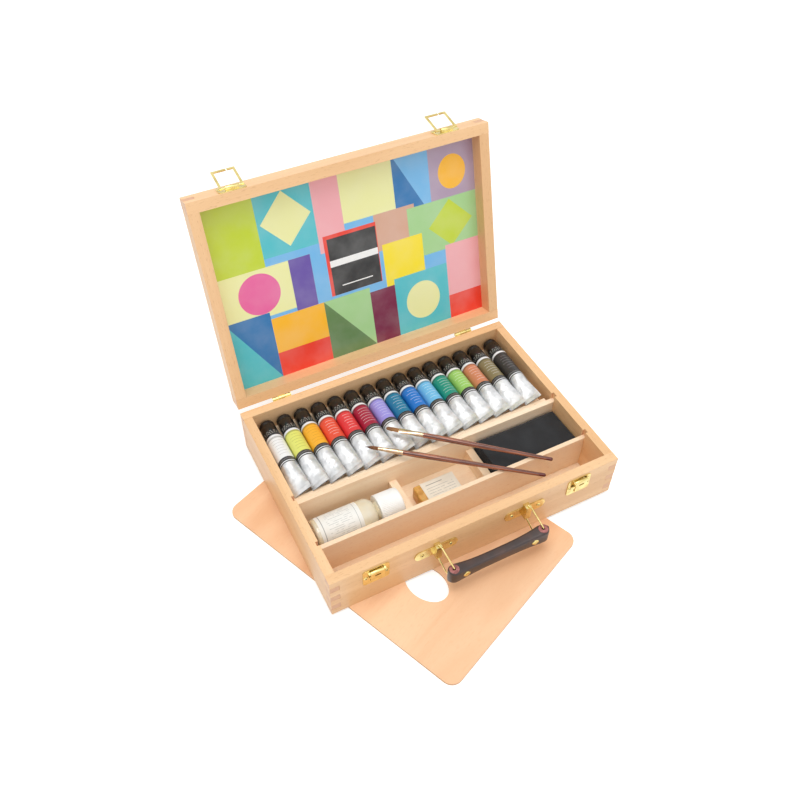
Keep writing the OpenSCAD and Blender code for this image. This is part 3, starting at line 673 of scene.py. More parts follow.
@dataclass(frozen=True)
class TubeFinish:
    """A paint tube: bare shoulder, white ring, coloured label with fine rules, dark band, bare foil tail."""

    label: Rgba
    rule: Rgba
    ring_start: float
    label_start: float
    label_end: float
    band_end: float
    foil: Rgba = rgb(234, 235, 236)
    shade: Rgba = rgb(192, 194, 196)
    ring: Rgba = rgb(236, 238, 240)
    ink: Rgba = rgb(20, 19, 21)
    rules: int = 6

    def make(self, name: str, seed: int) -> bpy.types.Material:
        """Makes the finish, whose UV map gives metres along the tube and the turn round it.

        Args:
            name: The material's name.
            seed: Moves the fine rules.

        Returns:
            The material.
        """
        net = ShaderNet(name)
        around, along = net.station()
        sharp = 0.12 * MM
        ring = net.within(along, self.ring_start, self.label_start, sharp)
        label = net.within(along, self.label_start + 0.5 * MM, self.label_end, sharp)
        band = net.within(along, self.label_end, self.band_end, sharp)
        line = net.within(along, self.label_end + 1.4 * MM, self.band_end - 3.8 * MM, sharp)
        gap = net.within(along, self.band_end - 2.4 * MM, self.band_end - 1.3 * MM, sharp)
        printed = net.within(along, self.ring_start, self.band_end, sharp)
        colour = net.tint(net.cloud(120, 2.0, 0.35, 0.7) * 0.7, self.foil, self.shade)
        colour = net.tint(ring, colour, self.ring)
        colour = net.tint(label, colour, self.label)
        colour = net.tint(label * self._rules(net, around, along, seed) * 0.55, colour, self.rule)
        edge = net.within(along, self.label_start + 0.3 * MM, self.label_start + 3.2 * MM, 0.3 * MM)
        colour = net.tint(edge * 0.4, colour, self.ink)
        colour = net.tint(band, colour, self.ink)
        ticks = net.within(net.calc("FRACT", around * 46.0), 0.2, 0.62, 0.06)
        colour = net.tint(band * line * ticks * 0.5, colour, rgb(176, 176, 176))
        colour = net.tint(gap, colour, self.ring)
        net.set("Base Color", colour)
        net.set("Metallic", (1.0 - printed) * 0.8)
        net.set("Roughness", 0.34 + net.noise(net.coordinates(), 500, 2.0) * 0.12)
        wrinkle = abs(net.noise(net.coordinates(), 130, 3.0) - 0.5) * (1.0 - printed * 0.75)
        net.bump(net.noise(net.coordinates(), 420, 2.0) * 0.3 - wrinkle * 5.0, 0.12 * MM, 0.8)
        return net.material

    def _rules(self, net: ShaderNet, around: Field, along: Field, seed: int) -> Field:
        """Draws fine printed rules of uneven length across the label's upper side.

        Args:
            net: The material's net.
            around: The turn round the tube.
            along: Metres along the tube.
            seed: Moves the rules' ends.

        Returns:
            Where a rule is.
        """
        draw = random.Random(seed)
        span = self.label_end - self.label_start
        total: Field | None = None
        for k in range(self.rules):
            centre = self.label_start + span * (0.2 + 0.62 * k / (self.rules - 1))
            row = net.within(along, centre - 0.28 * MM, centre + 0.28 * MM, 0.08 * MM)
            length = draw.uniform(0.05, 0.13)
            mark = row * net.within(around, 0.25 - length, 0.25 + length, 0.004)
            total = mark if total is None else total + mark
        return total


@dataclass(frozen=True)
class LeatherFinish:
    """Waxed dark leather with a fine grain, browner in soft patches and towards the grip's lower side."""

    colour: Rgba = rgb(56, 43, 41)
    brown_tone: Rgba = rgb(98, 68, 56)

    def make(self, name: str) -> bpy.types.Material:
        """Makes the finish under a name."""
        net = ShaderNet(name, Roughness=0.4, Coat_Weight=0.12, Coat_Roughness=0.3)
        place = net.coordinates()
        cells = net.add("ShaderNodeTexVoronoi", {"Vector": place, "Scale": 1300.0}).outputs["Distance"]
        cloud = net.noise(place, 60, 3.0)
        height = net.parts(place)[2]
        lower = 1.0 - net.smooth(height, 22 * MM, 29 * MM)
        # Browner in soft patches, and below a height of 22 to 29 mm, over the grip's lower part.
        brown_share = net.smooth(cloud, 0.4, 0.8) * 0.45 + lower * 0.35
        net.set("Base Color", net.tint(brown_share, self.colour, self.brown_tone))
        net.set("Roughness", 0.33 + cloud * 0.2)
        net.bump(cells, 0.10 * MM, 0.5)
        return net.material


@dataclass(frozen=True)
class LacquerFinish:
    """Streaked lacquer on a brush handle, coppery near the ferrule, browner further on and dark at the far end.
    """

    start: Vector
    turn: Matrix
    length: float
    copper: Rgba = rgb(212, 130, 90)
    brown: Rgba = rgb(92, 45, 32)
    tip: Rgba = rgb(96, 34, 30)

    def make(self, name: str) -> bpy.types.Material:
        """Makes the finish under a name, with the handle along the frame's third axis."""
        net = ShaderNet(name, Roughness=0.26, Coat_Weight=0.6, Coat_Roughness=0.08)
        place = net.coordinates(self.turn, self.start)
        part = net.parts(place)[2] / self.length
        streaks = net.noise(net.stretch(place, 700, 700, 22), 1.0, 3.0)
        colour = net.tint(net.smooth(streaks, 0.38, 0.58), self.copper, self.brown)
        far = net.smooth(part, 0.3, 0.5)
        colour = net.tint(far * 0.45, colour, self.brown)
        colour = net.tint(net.smooth(part, 0.955, 0.965), colour, self.tip)
        net.set("Base Color", colour)
        net.set("Metallic", 0.2)
        return net.material


@dataclass(frozen=True)
class HairFinish:
    """Brush hair, darker towards the tip."""

    start: Vector
    turn: Matrix
    length: float
    root: Rgba
    tip: Rgba

    def make(self, name: str) -> bpy.types.Material:
        """Makes the finish under a name, with the hair along the frame's third axis."""
        net = ShaderNet(name, Roughness=0.42)
        place = net.coordinates(self.turn, self.start)
        part = net.parts(place)[2] / self.length
        strands = net.noise(net.stretch(place, 5000, 5000, 120), 1.0, 2.0)
        colour = net.tint(net.smooth(part, 0.1, 0.8), self.tip, self.root)
        colour = net.tint(net.smooth(strands, 0.4, 0.7) * 0.5, colour, self.tip)
        net.set("Base Color", colour)
        return net.material


class Motif(Enum):
    """The outline of one painted field of the lid's print."""

    BLOCK = "block"
    DIAMOND = "diamond"
    OVAL = "oval"
    WEDGE = "wedge"


@dataclass(frozen=True)
class Patch:
    """One painted field: its outline, its middle and half size where the print is 2 by 2, and its colour."""

    motif: Motif
    x: float
    y: float
    half_x: float
    half_y: float
    colour: Rgba

    def mask(self, net: Net, across: Field, up: Field) -> Field:
        """Tells where the field lies.

        Args:
            net: The material's net.
            across: Place across the print, from -1 to 1.
            up: Place up the print, from -1 to 1.

        Returns:
            1 inside the field and 0 outside.
        """
        dx, dy = (across - self.x) / self.half_x, (up - self.y) / self.half_y
        reach = {
            Motif.BLOCK: lambda: net.calc("MAXIMUM", abs(dx), abs(dy)),
            Motif.DIAMOND: lambda: abs(dx) + abs(dy),
            Motif.OVAL: lambda: net.calc("SQRT", dx * dx + dy * dy),
            Motif.WEDGE: lambda: net.calc("MAXIMUM", net.calc("MAXIMUM", abs(dx), abs(dy)), dx + dy + 1.0),
        }[self.motif]()
        return 1.0 - net.smooth(reach, 0.995, 1.005)


PALE_YELLOW = rgb(238, 238, 168)
LIME = rgb(194, 214, 38)
TEAL = rgb(78, 192, 202)
PINK = rgb(242, 172, 178)
SKY = rgb(112, 184, 234)
ORANGE = rgb(252, 186, 24)
LEAF = rgb(164, 210, 142)
TAN = rgb(214, 166, 140)
PLUM = rgb(118, 8, 62)
BLUE = rgb(6, 112, 176)
RED = rgb(236, 54, 30)
YELLOW = rgb(250, 226, 10)
MAUVE = rgb(174, 152, 176)
VIOLET = rgb(98, 74, 164)
ROSE = rgb(232, 96, 158)
MOSS = rgb(94, 130, 74)
BLACK = rgb(14, 14, 16)
WHITE = rgb(244, 244, 242)

PATCHES = (
    Patch(Motif.BLOCK, -0.82, 0.58, 0.18, 0.42, LIME),
    Patch(Motif.BLOCK, -0.44, 0.66, 0.20, 0.34, TEAL),
    Patch(Motif.DIAMOND, -0.44, 0.66, 0.18, 0.28, PALE_YELLOW),
    Patch(Motif.BLOCK, -0.14, 0.60, 0.10, 0.40, PINK),
    Patch(Motif.BLOCK, 0.16, 0.72, 0.20, 0.28, PALE_YELLOW),
    Patch(Motif.BLOCK, 0.50, 0.62, 0.14, 0.38, SKY),
    Patch(Motif.WEDGE, 0.50, 0.62, 0.14, 0.38, BLUE),
    Patch(Motif.BLOCK, 0.82, 0.70, 0.18, 0.30, MAUVE),
    Patch(Motif.OVAL, 0.82, 0.66, 0.11, 0.18, ORANGE),
    Patch(Motif.BLOCK, -0.66, -0.02, 0.34, 0.26, PALE_YELLOW),
    Patch(Motif.OVAL, -0.72, -0.02, 0.15, 0.22, ROSE),
    Patch(Motif.BLOCK, -0.40, -0.04, 0.08, 0.28, VIOLET),
    Patch(Motif.BLOCK, 0.34, 0.24, 0.16, 0.20, TAN),
    Patch(Motif.BLOCK, 0.72, 0.12, 0.28, 0.28, LEAF),
    Patch(Motif.DIAMOND, 0.78, 0.12, 0.18, 0.26, LIME),
    Patch(Motif.BLOCK, 0.38, -0.14, 0.16, 0.24, YELLOW),
    Patch(Motif.BLOCK, -0.84, -0.62, 0.16, 0.38, BLUE),
    Patch(Motif.WEDGE, -0.84, -0.62, 0.16, 0.38, TEAL),
    Patch(Motif.BLOCK, -0.48, -0.68, 0.20, 0.36, ORANGE),
    Patch(Motif.BLOCK, -0.48, -0.86, 0.20, 0.14, RED),
    Patch(Motif.BLOCK, -0.10, -0.66, 0.18, 0.34, LEAF),
    Patch(Motif.WEDGE, -0.10, -0.66, 0.18, 0.34, MOSS),
    Patch(Motif.BLOCK, 0.18, -0.70, 0.10, 0.32, PLUM),
    Patch(Motif.BLOCK, 0.50, -0.66, 0.22, 0.34, TEAL),
    Patch(Motif.OVAL, 0.50, -0.66, 0.14, 0.22, PALE_YELLOW),
    Patch(Motif.BLOCK, 0.86, -0.54, 0.14, 0.42, PINK),
    Patch(Motif.BLOCK, 0.86, -0.86, 0.14, 0.14, RED),
    Patch(Motif.BLOCK, -0.01, 0.04, 0.20, 0.33, RED),
    Patch(Motif.BLOCK, 0.0, 0.02, 0.185, 0.31, BLACK),
    Patch(Motif.BLOCK, 0.0, 0.06, 0.185, 0.035, WHITE),
    Patch(Motif.BLOCK, 0.0, -0.20, 0.12, 0.006, WHITE),
)


@dataclass(frozen=True)
class PrintFinish:
    """A satin printed sheet of painted fields round a plain dark card."""

    ground: Rgba = SKY
    patches: tuple[Patch, ...] = PATCHES

    def make(self, name: str, turn: Matrix, centre: Vector, half: tuple[float, float]) -> bpy.types.Material:
        """Makes the finish.

        Args:
            name: The material's name.
            turn: The sheet's axes.
            centre: The sheet's middle.
            half: Its half width and half depth.

        Returns:
            The material.
        """
        net = ShaderNet(name, Roughness=0.32, Coat_Weight=0.1, Coat_Roughness=0.25)
        place = net.coordinates(turn, centre)
        x, y, _ = net.parts(place)
        across, up = x / half[0], y / half[1] * -1.0
        colour: Operand = self.ground
        for patch in self.patches:
            colour = net.tint(patch.mask(net, across, up), colour, patch.colour)
        wash = net.smooth(net.noise(place, 26, 4.0), 0.3, 0.75)
        net.set("Base Color", net.tint(wash * 0.10, colour, WHITE))
        net.bump(net.noise(place, 1400, 2.0), 0.02 * MM, 0.4)
        return net.material


@dataclass
class Woodwork:
    """The boards of the case and the lid, kept from the CAD model with softened edges."""

    finish: WoodFinish = WoodFinish()
    # Painted light: the inner boards take a paler copy of the same beech, standing in for the brighter light
    # inside the case.
    lit_inner_copy: WoodFinish = WoodFinish(
        rgb(255, 233, 203), rgb(247, 217, 182), rgb(220, 172, 130), rgb(228, 182, 144),
    )
    edge: float = 0.45 * MM
    case_boards: dict[str, Grain] = field(default_factory=lambda: {
        "case_front": Grain.ACROSS, "case_back": Grain.ACROSS,
        "case_left": Grain.DEEP, "case_right": Grain.DEEP,
    })
    inner_boards: dict[str, Grain] = field(default_factory=lambda: {
        "rear_divider": Grain.ACROSS, "front_divider": Grain.ACROSS, "left_partition": Grain.DEEP,
        "right_partition": Grain.DEEP, "tail_rail": Grain.ACROSS, "base_panel": Grain.ACROSS,
        "tube_shelf": Grain.ACROSS, "shelf_cleats": Grain.DEEP,
    })
    lid_boards: dict[str, Grain] = field(default_factory=lambda: {
        "lid_front": Grain.ACROSS, "lid_back": Grain.ACROSS, "lid_left": Grain.DEEP, "lid_right": Grain.DEEP,
        "lid_panel": Grain.ACROSS,
    })

    def dress(self) -> None:
        """Gives every board its own finish and soft edges."""
        shut, opened = Matrix.Identity(3), BOX.lid_turn()
        groups = (
            (self.case_boards, shut, self.finish),
            # The inner boards' paler copy is painted light.
            (self.inner_boards, shut, self.lit_inner_copy),
            (self.lid_boards, opened, self.finish),
        )
        for boards, lid_turn, finish in groups:
            for name, grain in boards.items():
                turn = lid_turn @ Matrix.Rotation(math.radians(grain.value), 3, "Z")
                material = finish.make("wood_" + name, turn, seed=sum(map(ord, name)))
                dress_node(name, material, self.edge)


def dress_node(name: str, material: bpy.types.Material, edge: float = 0.0) -> None:
    """Gives a CAD node a finish and, where edge is not 0, edges softened by that width.

    Args:
        name: The node's name.
        material: Its finish.
        edge: The width of the softened edges.
    """
    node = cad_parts[name]
    node.data.materials.clear()
    node.data.materials.append(material)
    if edge:
        weld = node.modifiers.new("weld", "WELD")
        weld.merge_threshold = WELD
        bevel = node.modifiers.new("edge", "BEVEL")
        bevel.width, bevel.segments = edge, 2
        bevel.limit_method, bevel.angle_limit = "ANGLE", math.radians(50)
        bevel.harden_normals = True


@dataclass
class Palette:
    """The plywood palette under the case."""

    finish: PlyFinish = PlyFinish()
    turn: float = 22.9
    edge: float = 0.4 * MM

    def dress(self) -> None:
        """Gives the palette its finish, its fibres along its short side."""
        axes = Matrix.Rotation(math.radians(self.turn), 3, "Z")
        dress_node("palette", self.finish.make("plywood", axes, BOX.foot), self.edge)


@dataclass
class LidPrint:
    """The printed sheet inside the lid."""

    finish: PrintFinish = PrintFinish()

    def dress(self) -> None:
        """Gives the sheet its painted fields."""
        low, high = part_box("art_sheet")
        half_depth = (BOX.depth - 2 * BOX.lid_wall) / 2
        half_width = (BOX.width - 2 * BOX.lid_wall) / 2
        material = self.finish.make("print", BOX.lid_turn(), (low + high) / 2, (half_width, half_depth))
        dress_node("art_sheet", material)


@dataclass
class Fittings:
    """Hinges, catches and handle brackets of plated brass, and their screws."""

    finish: MetalFinish = MetalFinish()
    screw_head: float = 2.3 * MM
    dome: float = 0.9 * MM
    plain: tuple[str, ...] = (
        "case_hinge_leaves", "lid_hinge_leaves", "hinge_pins", "catch_plates", "latch_plates",
        "left_lever", "right_lever", "left_frame", "right_frame", "handle_brackets", "left_bail", "right_bail",
    )
    stamped: tuple[str, ...] = ("catch_plates", "latch_plates", "left_lever", "right_lever", "handle_brackets")
    stamped_edge: float = 0.25 * MM

    def build(self) -> None:
        """Dresses the kept nodes and makes the screws."""
        self.material = self.finish.make("brass")
        for name in self.plain:
            dress_node(name, self.material, self.stamped_edge if name in self.stamped else 0)
        tree = self._screw_tree()
        # Painted shade: a dark brown slab lies at the bottom of each screw's cross, standing in for the shade
        # inside it.
        recess_shade = PlasticFinish(rgb(40, 30, 16), 0.6, 0.0).make("screw_recess_shade")
        self._screws(tree, recess_shade, "case_screws", "case", FORWARDS)
        self._screws(tree, recess_shade, "lid_screws", "lid", BOX.lid_turn() @ FORWARDS)

    def _screws(
        self, tree: GeometryNet, recess_shade: bpy.types.Material, node: str, body: str, front: Vector,
    ) -> None:
        """Makes one body's screws in place of a CAD node.

        Args:
            tree: The screw tree.
            recess_shade: The dark finish of the slabs at the bottom of the cross recesses, painted shade.
            node: The CAD node whose screws are replaced.
            body: The body that they ride on.
            front: The way that the front's screws face.
        """
        pieces = []
        for number, aim in enumerate((front, -front)):
            seats = [centre + aim * 0.02 * MM for centre, facing in screw_seats(node) if facing.dot(aim) > 0.9]
            if not seats:
                continue
            spin = aim.to_track_quat("Z", "Y").to_euler()
            piece = tree.grow(
                f"{node}_{number}", [spin.to_matrix().inverted() @ s for s in seats],
                Head=self.screw_head, Dome=self.dome, Seed=7 + number, Material=self.material, Recess=recess_shade,
            )
            piece.data.transform(spin.to_matrix().to_4x4())
            pieces.append(piece)
        for piece in pieces:
            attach(piece, body)
            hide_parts(node)

    def _screw_tree(self) -> GeometryNet:
        """Builds the tree that puts a domed head cut with a cross on every point, and a dark slab of painted
        shade at the cross's bottom.
        """
        net = GeometryNet("screws")
        head, dome = net.take("Head", self.screw_head), net.take("Dome", self.dome)
        seed, material, recess_shade = net.take("Seed", 1), net.take("Material", None), net.take("Recess", None)
        ball = net.add("GeometryNodeMeshUVSphere", {"Segments": 32, "Rings": 16, "Radius": 1.0}).outputs[0]
        head_size = net.vector(head, head, dome)
        carved = net.add("GeometryNodeTransform", {"Geometry": ball, "Scale": head_size}).outputs[0]
        layers = []
        for x, y in ((1.3, 0.34), (0.34, 1.3)):
            # The tall bars cut the cross; the thin bars stay at its bottom in the dark finish, as painted
            # shade.
            for height, lift, cuts in ((2.0, 1.45, True), (0.2, 0.5, False)):
                size = net.vector(head * x, head * y, dome * height)
                bar = net.add("GeometryNodeMeshCube", {"Size": size}).outputs[0]
                above = net.vector(0.0, 0.0, dome * lift)
                bar = net.add("GeometryNodeTransform", {"Geometry": bar, "Translation": above}).outputs[0]
                if cuts:
                    cutter = net.add("GeometryNodeMeshBoolean", {"Mesh 1": carved}, operation="DIFFERENCE")
                    net.feed(cutter.inputs["Mesh 2"], bar)
                    carved = cutter.outputs[0]
                else:
                    layers.append(net.paint(bar, recess_shade))
        smooth = net.add("GeometryNodeSetShadeSmooth", {"Geometry": carved, "Shade Smooth": True}).outputs[0]
        layers.append(net.paint(smooth, material))
        joined = net.add("GeometryNodeJoinGeometry")
        for layer in layers:
            net.feed(joined.inputs[0], layer)
        turns = {"Seed": seed, "Max": (0.0, 0.0, 3.0)}
        twist = net.add("FunctionNodeRandomValue", turns, data_type="FLOAT_VECTOR")
        turn = net.add("FunctionNodeEulerToRotation", {0: twist.outputs[0]}).outputs[0]
        spread = {"Points": net.source.outputs["Geometry"], "Instance": joined.outputs[0], "Rotation": turn}
        net.close(net.add("GeometryNodeInstanceOnPoints", spread).outputs[0])
        return net


def screw_seats(node: str) -> list[tuple[Vector, Vector]]:
    """Finds each screw of a CAD node: the middle of its head's face and the way that it looks.

    Args:
        node: The CAD node's name.

    Returns:
        A place and a direction for each screw.
    """
    work = bmesh.new()
    work.from_mesh(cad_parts[node].data)
    bmesh.ops.remove_doubles(work, verts=work.verts, dist=WELD)
    seen: set[int] = set()
    seats = []
    work.verts.ensure_lookup_table()
    for start in work.verts:
        if start.index in seen:
            continue
        group, queue = [], [start]
        seen.add(start.index)
        while queue:
            vert = queue.pop()
            group.append(vert.co.copy())
            for edge in vert.link_edges:
                other = edge.other_vert(vert)
                if other.index not in seen:
                    seen.add(other.index)
                    queue.append(other)
        centre = sum(group, Vector()) / len(group)
        axis = min(
            AXES,
            key=lambda a: max(a.dot(p - centre) for p in group) - 2 * spread_along(group, centre, a),
        )
        top = max(axis.dot(p) for p in group)
        ring = [p for p in group if axis.dot(p) > top - 0.01 * MM]
        seats.append((sum(ring, Vector()) / len(ring), axis))
    work.free()
    return seats


def spread_along(group: Iterable[Vector], centre: Vector, axis: Vector) -> float:
    """Tells how far a group of points reaches behind its middle along an axis."""
    return max(-axis.dot(p - centre) for p in group)


FORWARDS = Vector((0, -1, 0))
AXES = (FORWARDS, -FORWARDS, BOX.lid_turn() @ FORWARDS, BOX.lid_turn() @ -FORWARDS)


@dataclass(frozen=True)
class Paint:
    """One tube's paint: its name, label colour and rule colour."""

    name: str
    label: Rgba
    rule: Rgba = rgb(250, 250, 250)


PAINTS = (
    Paint("white", rgb(240, 241, 240), rgb(150, 150, 150)),
    Paint("lemon", rgb(226, 228, 116), rgb(150, 150, 60)),
    Paint("yellow", rgb(246, 180, 50), rgb(190, 120, 30)),
    Paint("vermilion", rgb(232, 84, 60)),
    Paint("red", rgb(226, 62, 66)),
    Paint("carmine", rgb(166, 30, 62)),
    Paint("lilac", rgb(158, 150, 228)),
    Paint("teal", rgb(24, 122, 160)),
    Paint("cobalt", rgb(30, 120, 206)),
    Paint("sky", rgb(112, 190, 234)),
    Paint("emerald", rgb(20, 146, 124)),
    Paint("green", rgb(156, 206, 106)),
    Paint("terracotta", rgb(208, 132, 96)),
    Paint("olive", rgb(134, 122, 86)),
    Paint("black", rgb(52, 50, 50), rgb(150, 150, 150)),
)
GROUPED = ("red", "carmine", "lilac", "teal", "cobalt")


@dataclass
class PaintTubes:
    """The row of fifteen tubes: each a glossy cap and a body that flattens into its folded tail."""

    clearance: float = 0.05 * MM
    cap_step: float = 0.8 * MM
    cap_length: float = 26.5 * MM
    cap_gap: float = 0.2 * MM
    end_gap: float = 3.2 * MM
    taper: float = 43 * MM
    crimp_thickness: float = 1.2 * MM
    crimp_length: float = 5.4 * MM
    crimp_roll: float = 25.0
    side_gap: float = 1 * MM
    tail_room: float = 12 * MM
    tail_gap: float = 0.5 * MM
    cap_room: float = 3.4 * MM
    cap_end_room: float = 3.6 * MM
    last_shift: float = 2.8 * MM
    rail_seat: float = 2 * MM
    sag: float = 0.28 * MM
    ring_start: float = 27.1 * MM
    label_start: float = 31.4 * MM
    label_end: float = 67.6 * MM
    band_end: float = 75.6 * MM
    dent: float = 0.8 * MM

    def build(self) -> None:
        """Makes all tubes."""
        count = len(PAINTS)
        roll = math.radians(self.crimp_roll)
        self.pitch = (BOX.inner_width - self.side_gap - self.tail_room) / count
        half = (self.pitch - self.tail_gap) / 2
        self.crimp_width = 2 * (half - self.crimp_thickness / 2 * math.sin(roll)) / math.cos(roll)
        rise = self.crimp_width / 2 * math.sin(roll) + self.crimp_thickness / 2 * math.cos(roll)
        self.radius = half - self.clearance
        self.cap_radius = self.radius - self.cap_step
        self.cap_pitch = (BOX.inner_width - self.cap_room - self.cap_end_room - 2 * self.radius) / (count - 1)
        self.cap_x = BOX.wall + self.cap_room + self.radius
        self.cap_z = BOX.shelf_top + BOX.seat_gap + self.cap_radius
        self.tail_x = BOX.wall + self.side_gap + half
        self.tail_y = BOX.rail_y + self.rail_seat
        self.tail_z = BOX.divider_top + BOX.seat_gap + rise + self.sag
        self.ridge_z = self.tail_z + rise
        self.run = BOX.depth - BOX.wall - self.end_gap - self.tail_y
        self.length = math.hypot(self.run, self.tail_z - self.cap_z)
        tree = self._body_tree()
        cap = CapFinish().make("tube_cap")
        for number, paint in enumerate(PAINTS):
            self._tube(tree, cap, number, paint)

    def _place(self, number: int) -> Matrix:
        """Gives the place of one tube, its cap's end at the origin and its tail along +Z."""
        cap_x = self.cap_x + number * self.cap_pitch
        if number == len(PAINTS) - 1:
            cap_x += self.last_shift
        turn = math.asin((self.tail_x + number * self.pitch - cap_x) / self.run)
        rise = math.atan2(self.tail_z - self.cap_z, self.run)
        spin = Matrix.Rotation(turn, 4, "Z") @ Matrix.Rotation(math.pi / 2 - rise, 4, "X")
        return Matrix.Translation(BOX.at(cap_x, self.tail_y + self.run, self.cap_z)) @ spin

    def _tube(self, tree: GeometryNet, cap_material: bpy.types.Material, number: int, paint: Paint) -> None:
        """Makes one tube's cap and body in place of its CAD node.

        Args:
            tree: The tree of the tube bodies.
            cap_material: The caps' finish.
            number: The tube's place in the row.
            paint: Its paint.
        """
        finish = TubeFinish(
            paint.label, paint.rule, self.ring_start, self.label_start, self.label_end, self.band_end,
        )
        body = tree.grow(
            f"{paint.name}_tube", Radius=self.radius, Start=self.cap_length + self.cap_gap, Length=self.length,
            Taper=self.taper, Crimp_Width=self.crimp_width, Crimp_Thickness=self.crimp_thickness,
            Crimp_Length=self.crimp_length, Roll=math.radians(self.crimp_roll),
            Dent=self.dent, Seed=11 + number,
            Material=finish.make(f"tube_{paint.name}", number),
        )
        place = self._place(number)
        body.data.transform(place)
        r, length = self.cap_radius, self.cap_length
        profile = [(0.05 * MM, 0.0)] + fillet(r - 2.2 * MM, 2.0 * MM, 2.0 * MM, -90, 0, 7)
        profile += [(r - 0.2 * MM, 5.2 * MM), (r - 0.55 * MM, 5.7 * MM), (r - 0.55 * MM, 6.3 * MM)]
        profile += [(r - 0.1 * MM, 6.8 * MM), (r, length - 0.5 * MM), (r - 0.4 * MM, length)]
        profile += [(r - 1.6 * MM, length), (r - 1.8 * MM, length - 1.2 * MM)]
        skin = Skin()
        skin.loft(*turned(profile, 40))
        cap = skin.piece(f"{paint.name}_cap", cap_material, place, 50)
        body_name = "middle_tubes" if paint.name in GROUPED else "tube_" + paint.name
        for piece in (body, cap):
            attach(piece, body_name)
            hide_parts("tube_" + paint.name)

    def _body_tree(self) -> GeometryNet:
        """Builds the tree of a tube's body: a grid bent round the tube and pressed flat along its length."""
        net = GeometryNet("tube_body")
        radius, start, length = (net.take(n, 0.1) for n in ("Radius", "Start", "Length"))
        taper, width, thick = (net.take(n, 0.1) for n in ("Taper", "Crimp Width", "Crimp Thickness"))
        fold, roll, dent = (net.take(n, 0.1) for n in ("Crimp Length", "Roll", "Dent"))
        seed, material = net.take("Seed", 1), net.take("Material", None)
        sides, rows = 56, 120
        spans = {"Size X": 1.0, "Size Y": 1.0, "Vertices X": sides + 1, "Vertices Y": rows}
        grid = net.add("GeometryNodeMeshGrid", spans)
        x, y, _ = net.parts(net.add("GeometryNodeInputPosition").outputs[0])
        turn, part = x + 0.5, y + 0.5
        along = start + part * (length - start)
        share = net.calc("MINIMUM", (along - (length - taper)) / (taper - fold), 1.0)
        share = net.calc("MAXIMUM", share, 0.0)
        flat = share * share * (3.0 - share * 2.0) * 0.45 + share * 0.55
        angle = turn * (2 * math.pi)
        cosine, sine = net.calc("COSINE", angle), net.calc("SINE", angle)
        shoulder = 1.0 - net.smooth(part, 0.0, 0.022)
        round_part = radius * (1.0 - shoulder * 0.16)
        wide = round_part + (width / 2.0 - round_part) * flat
        thin = thick * (0.26 + net.calc("GREATER_THAN", along, length - fold) * 0.24)
        deep = round_part + (thin - round_part) * flat
        edge = flat * 0.7
        level = deep * sine * (1.0 - edge * cosine * cosine * 0.5)
        window = flat * (1.0 - flat) * 4.0
        place = net.vector(wide * cosine, level, along)
        shift = net.vector(seed * 3.7, seed * 1.3, seed * 0.9)
        creases, lumps = (
            net.add("ShaderNodeVectorMath", {0: net.stretch(place, *scale), 1: shift}, operation="ADD")
            for scale in ((330, 330, 46), (90, 90, 70))
        )
        ridges = 0.25 - abs(net.noise(creases.outputs[0], 1.0, 1.0) - 0.5) * 3.0
        push = ridges * 0.8 + (net.noise(lumps.outputs[0], 1.0, 1.0) - 0.5) * 1.8
        level = level + push * dent * window * sine
        cr, sr = net.calc("COSINE", roll * share), net.calc("SINE", roll * share)
        across = wide * cosine
        spot = net.vector(across * cr - level * sr, across * sr + level * cr, along)
        uv = net.vector(turn, along, 0.0)
        mapped = {"Geometry": grid.outputs[0], "Name": "UVMap", "Value": uv}
        store = net.add("GeometryNodeStoreNamedAttribute", mapped, data_type="FLOAT2", domain="CORNER")
        move = net.add("GeometryNodeSetPosition", {"Geometry": store.outputs[0], "Position": spot}).outputs[0]
        merged = net.add("GeometryNodeMergeByDistance", {"Geometry": move, "Distance": WELD}).outputs[0]
        net.close(merged, material)
        return net


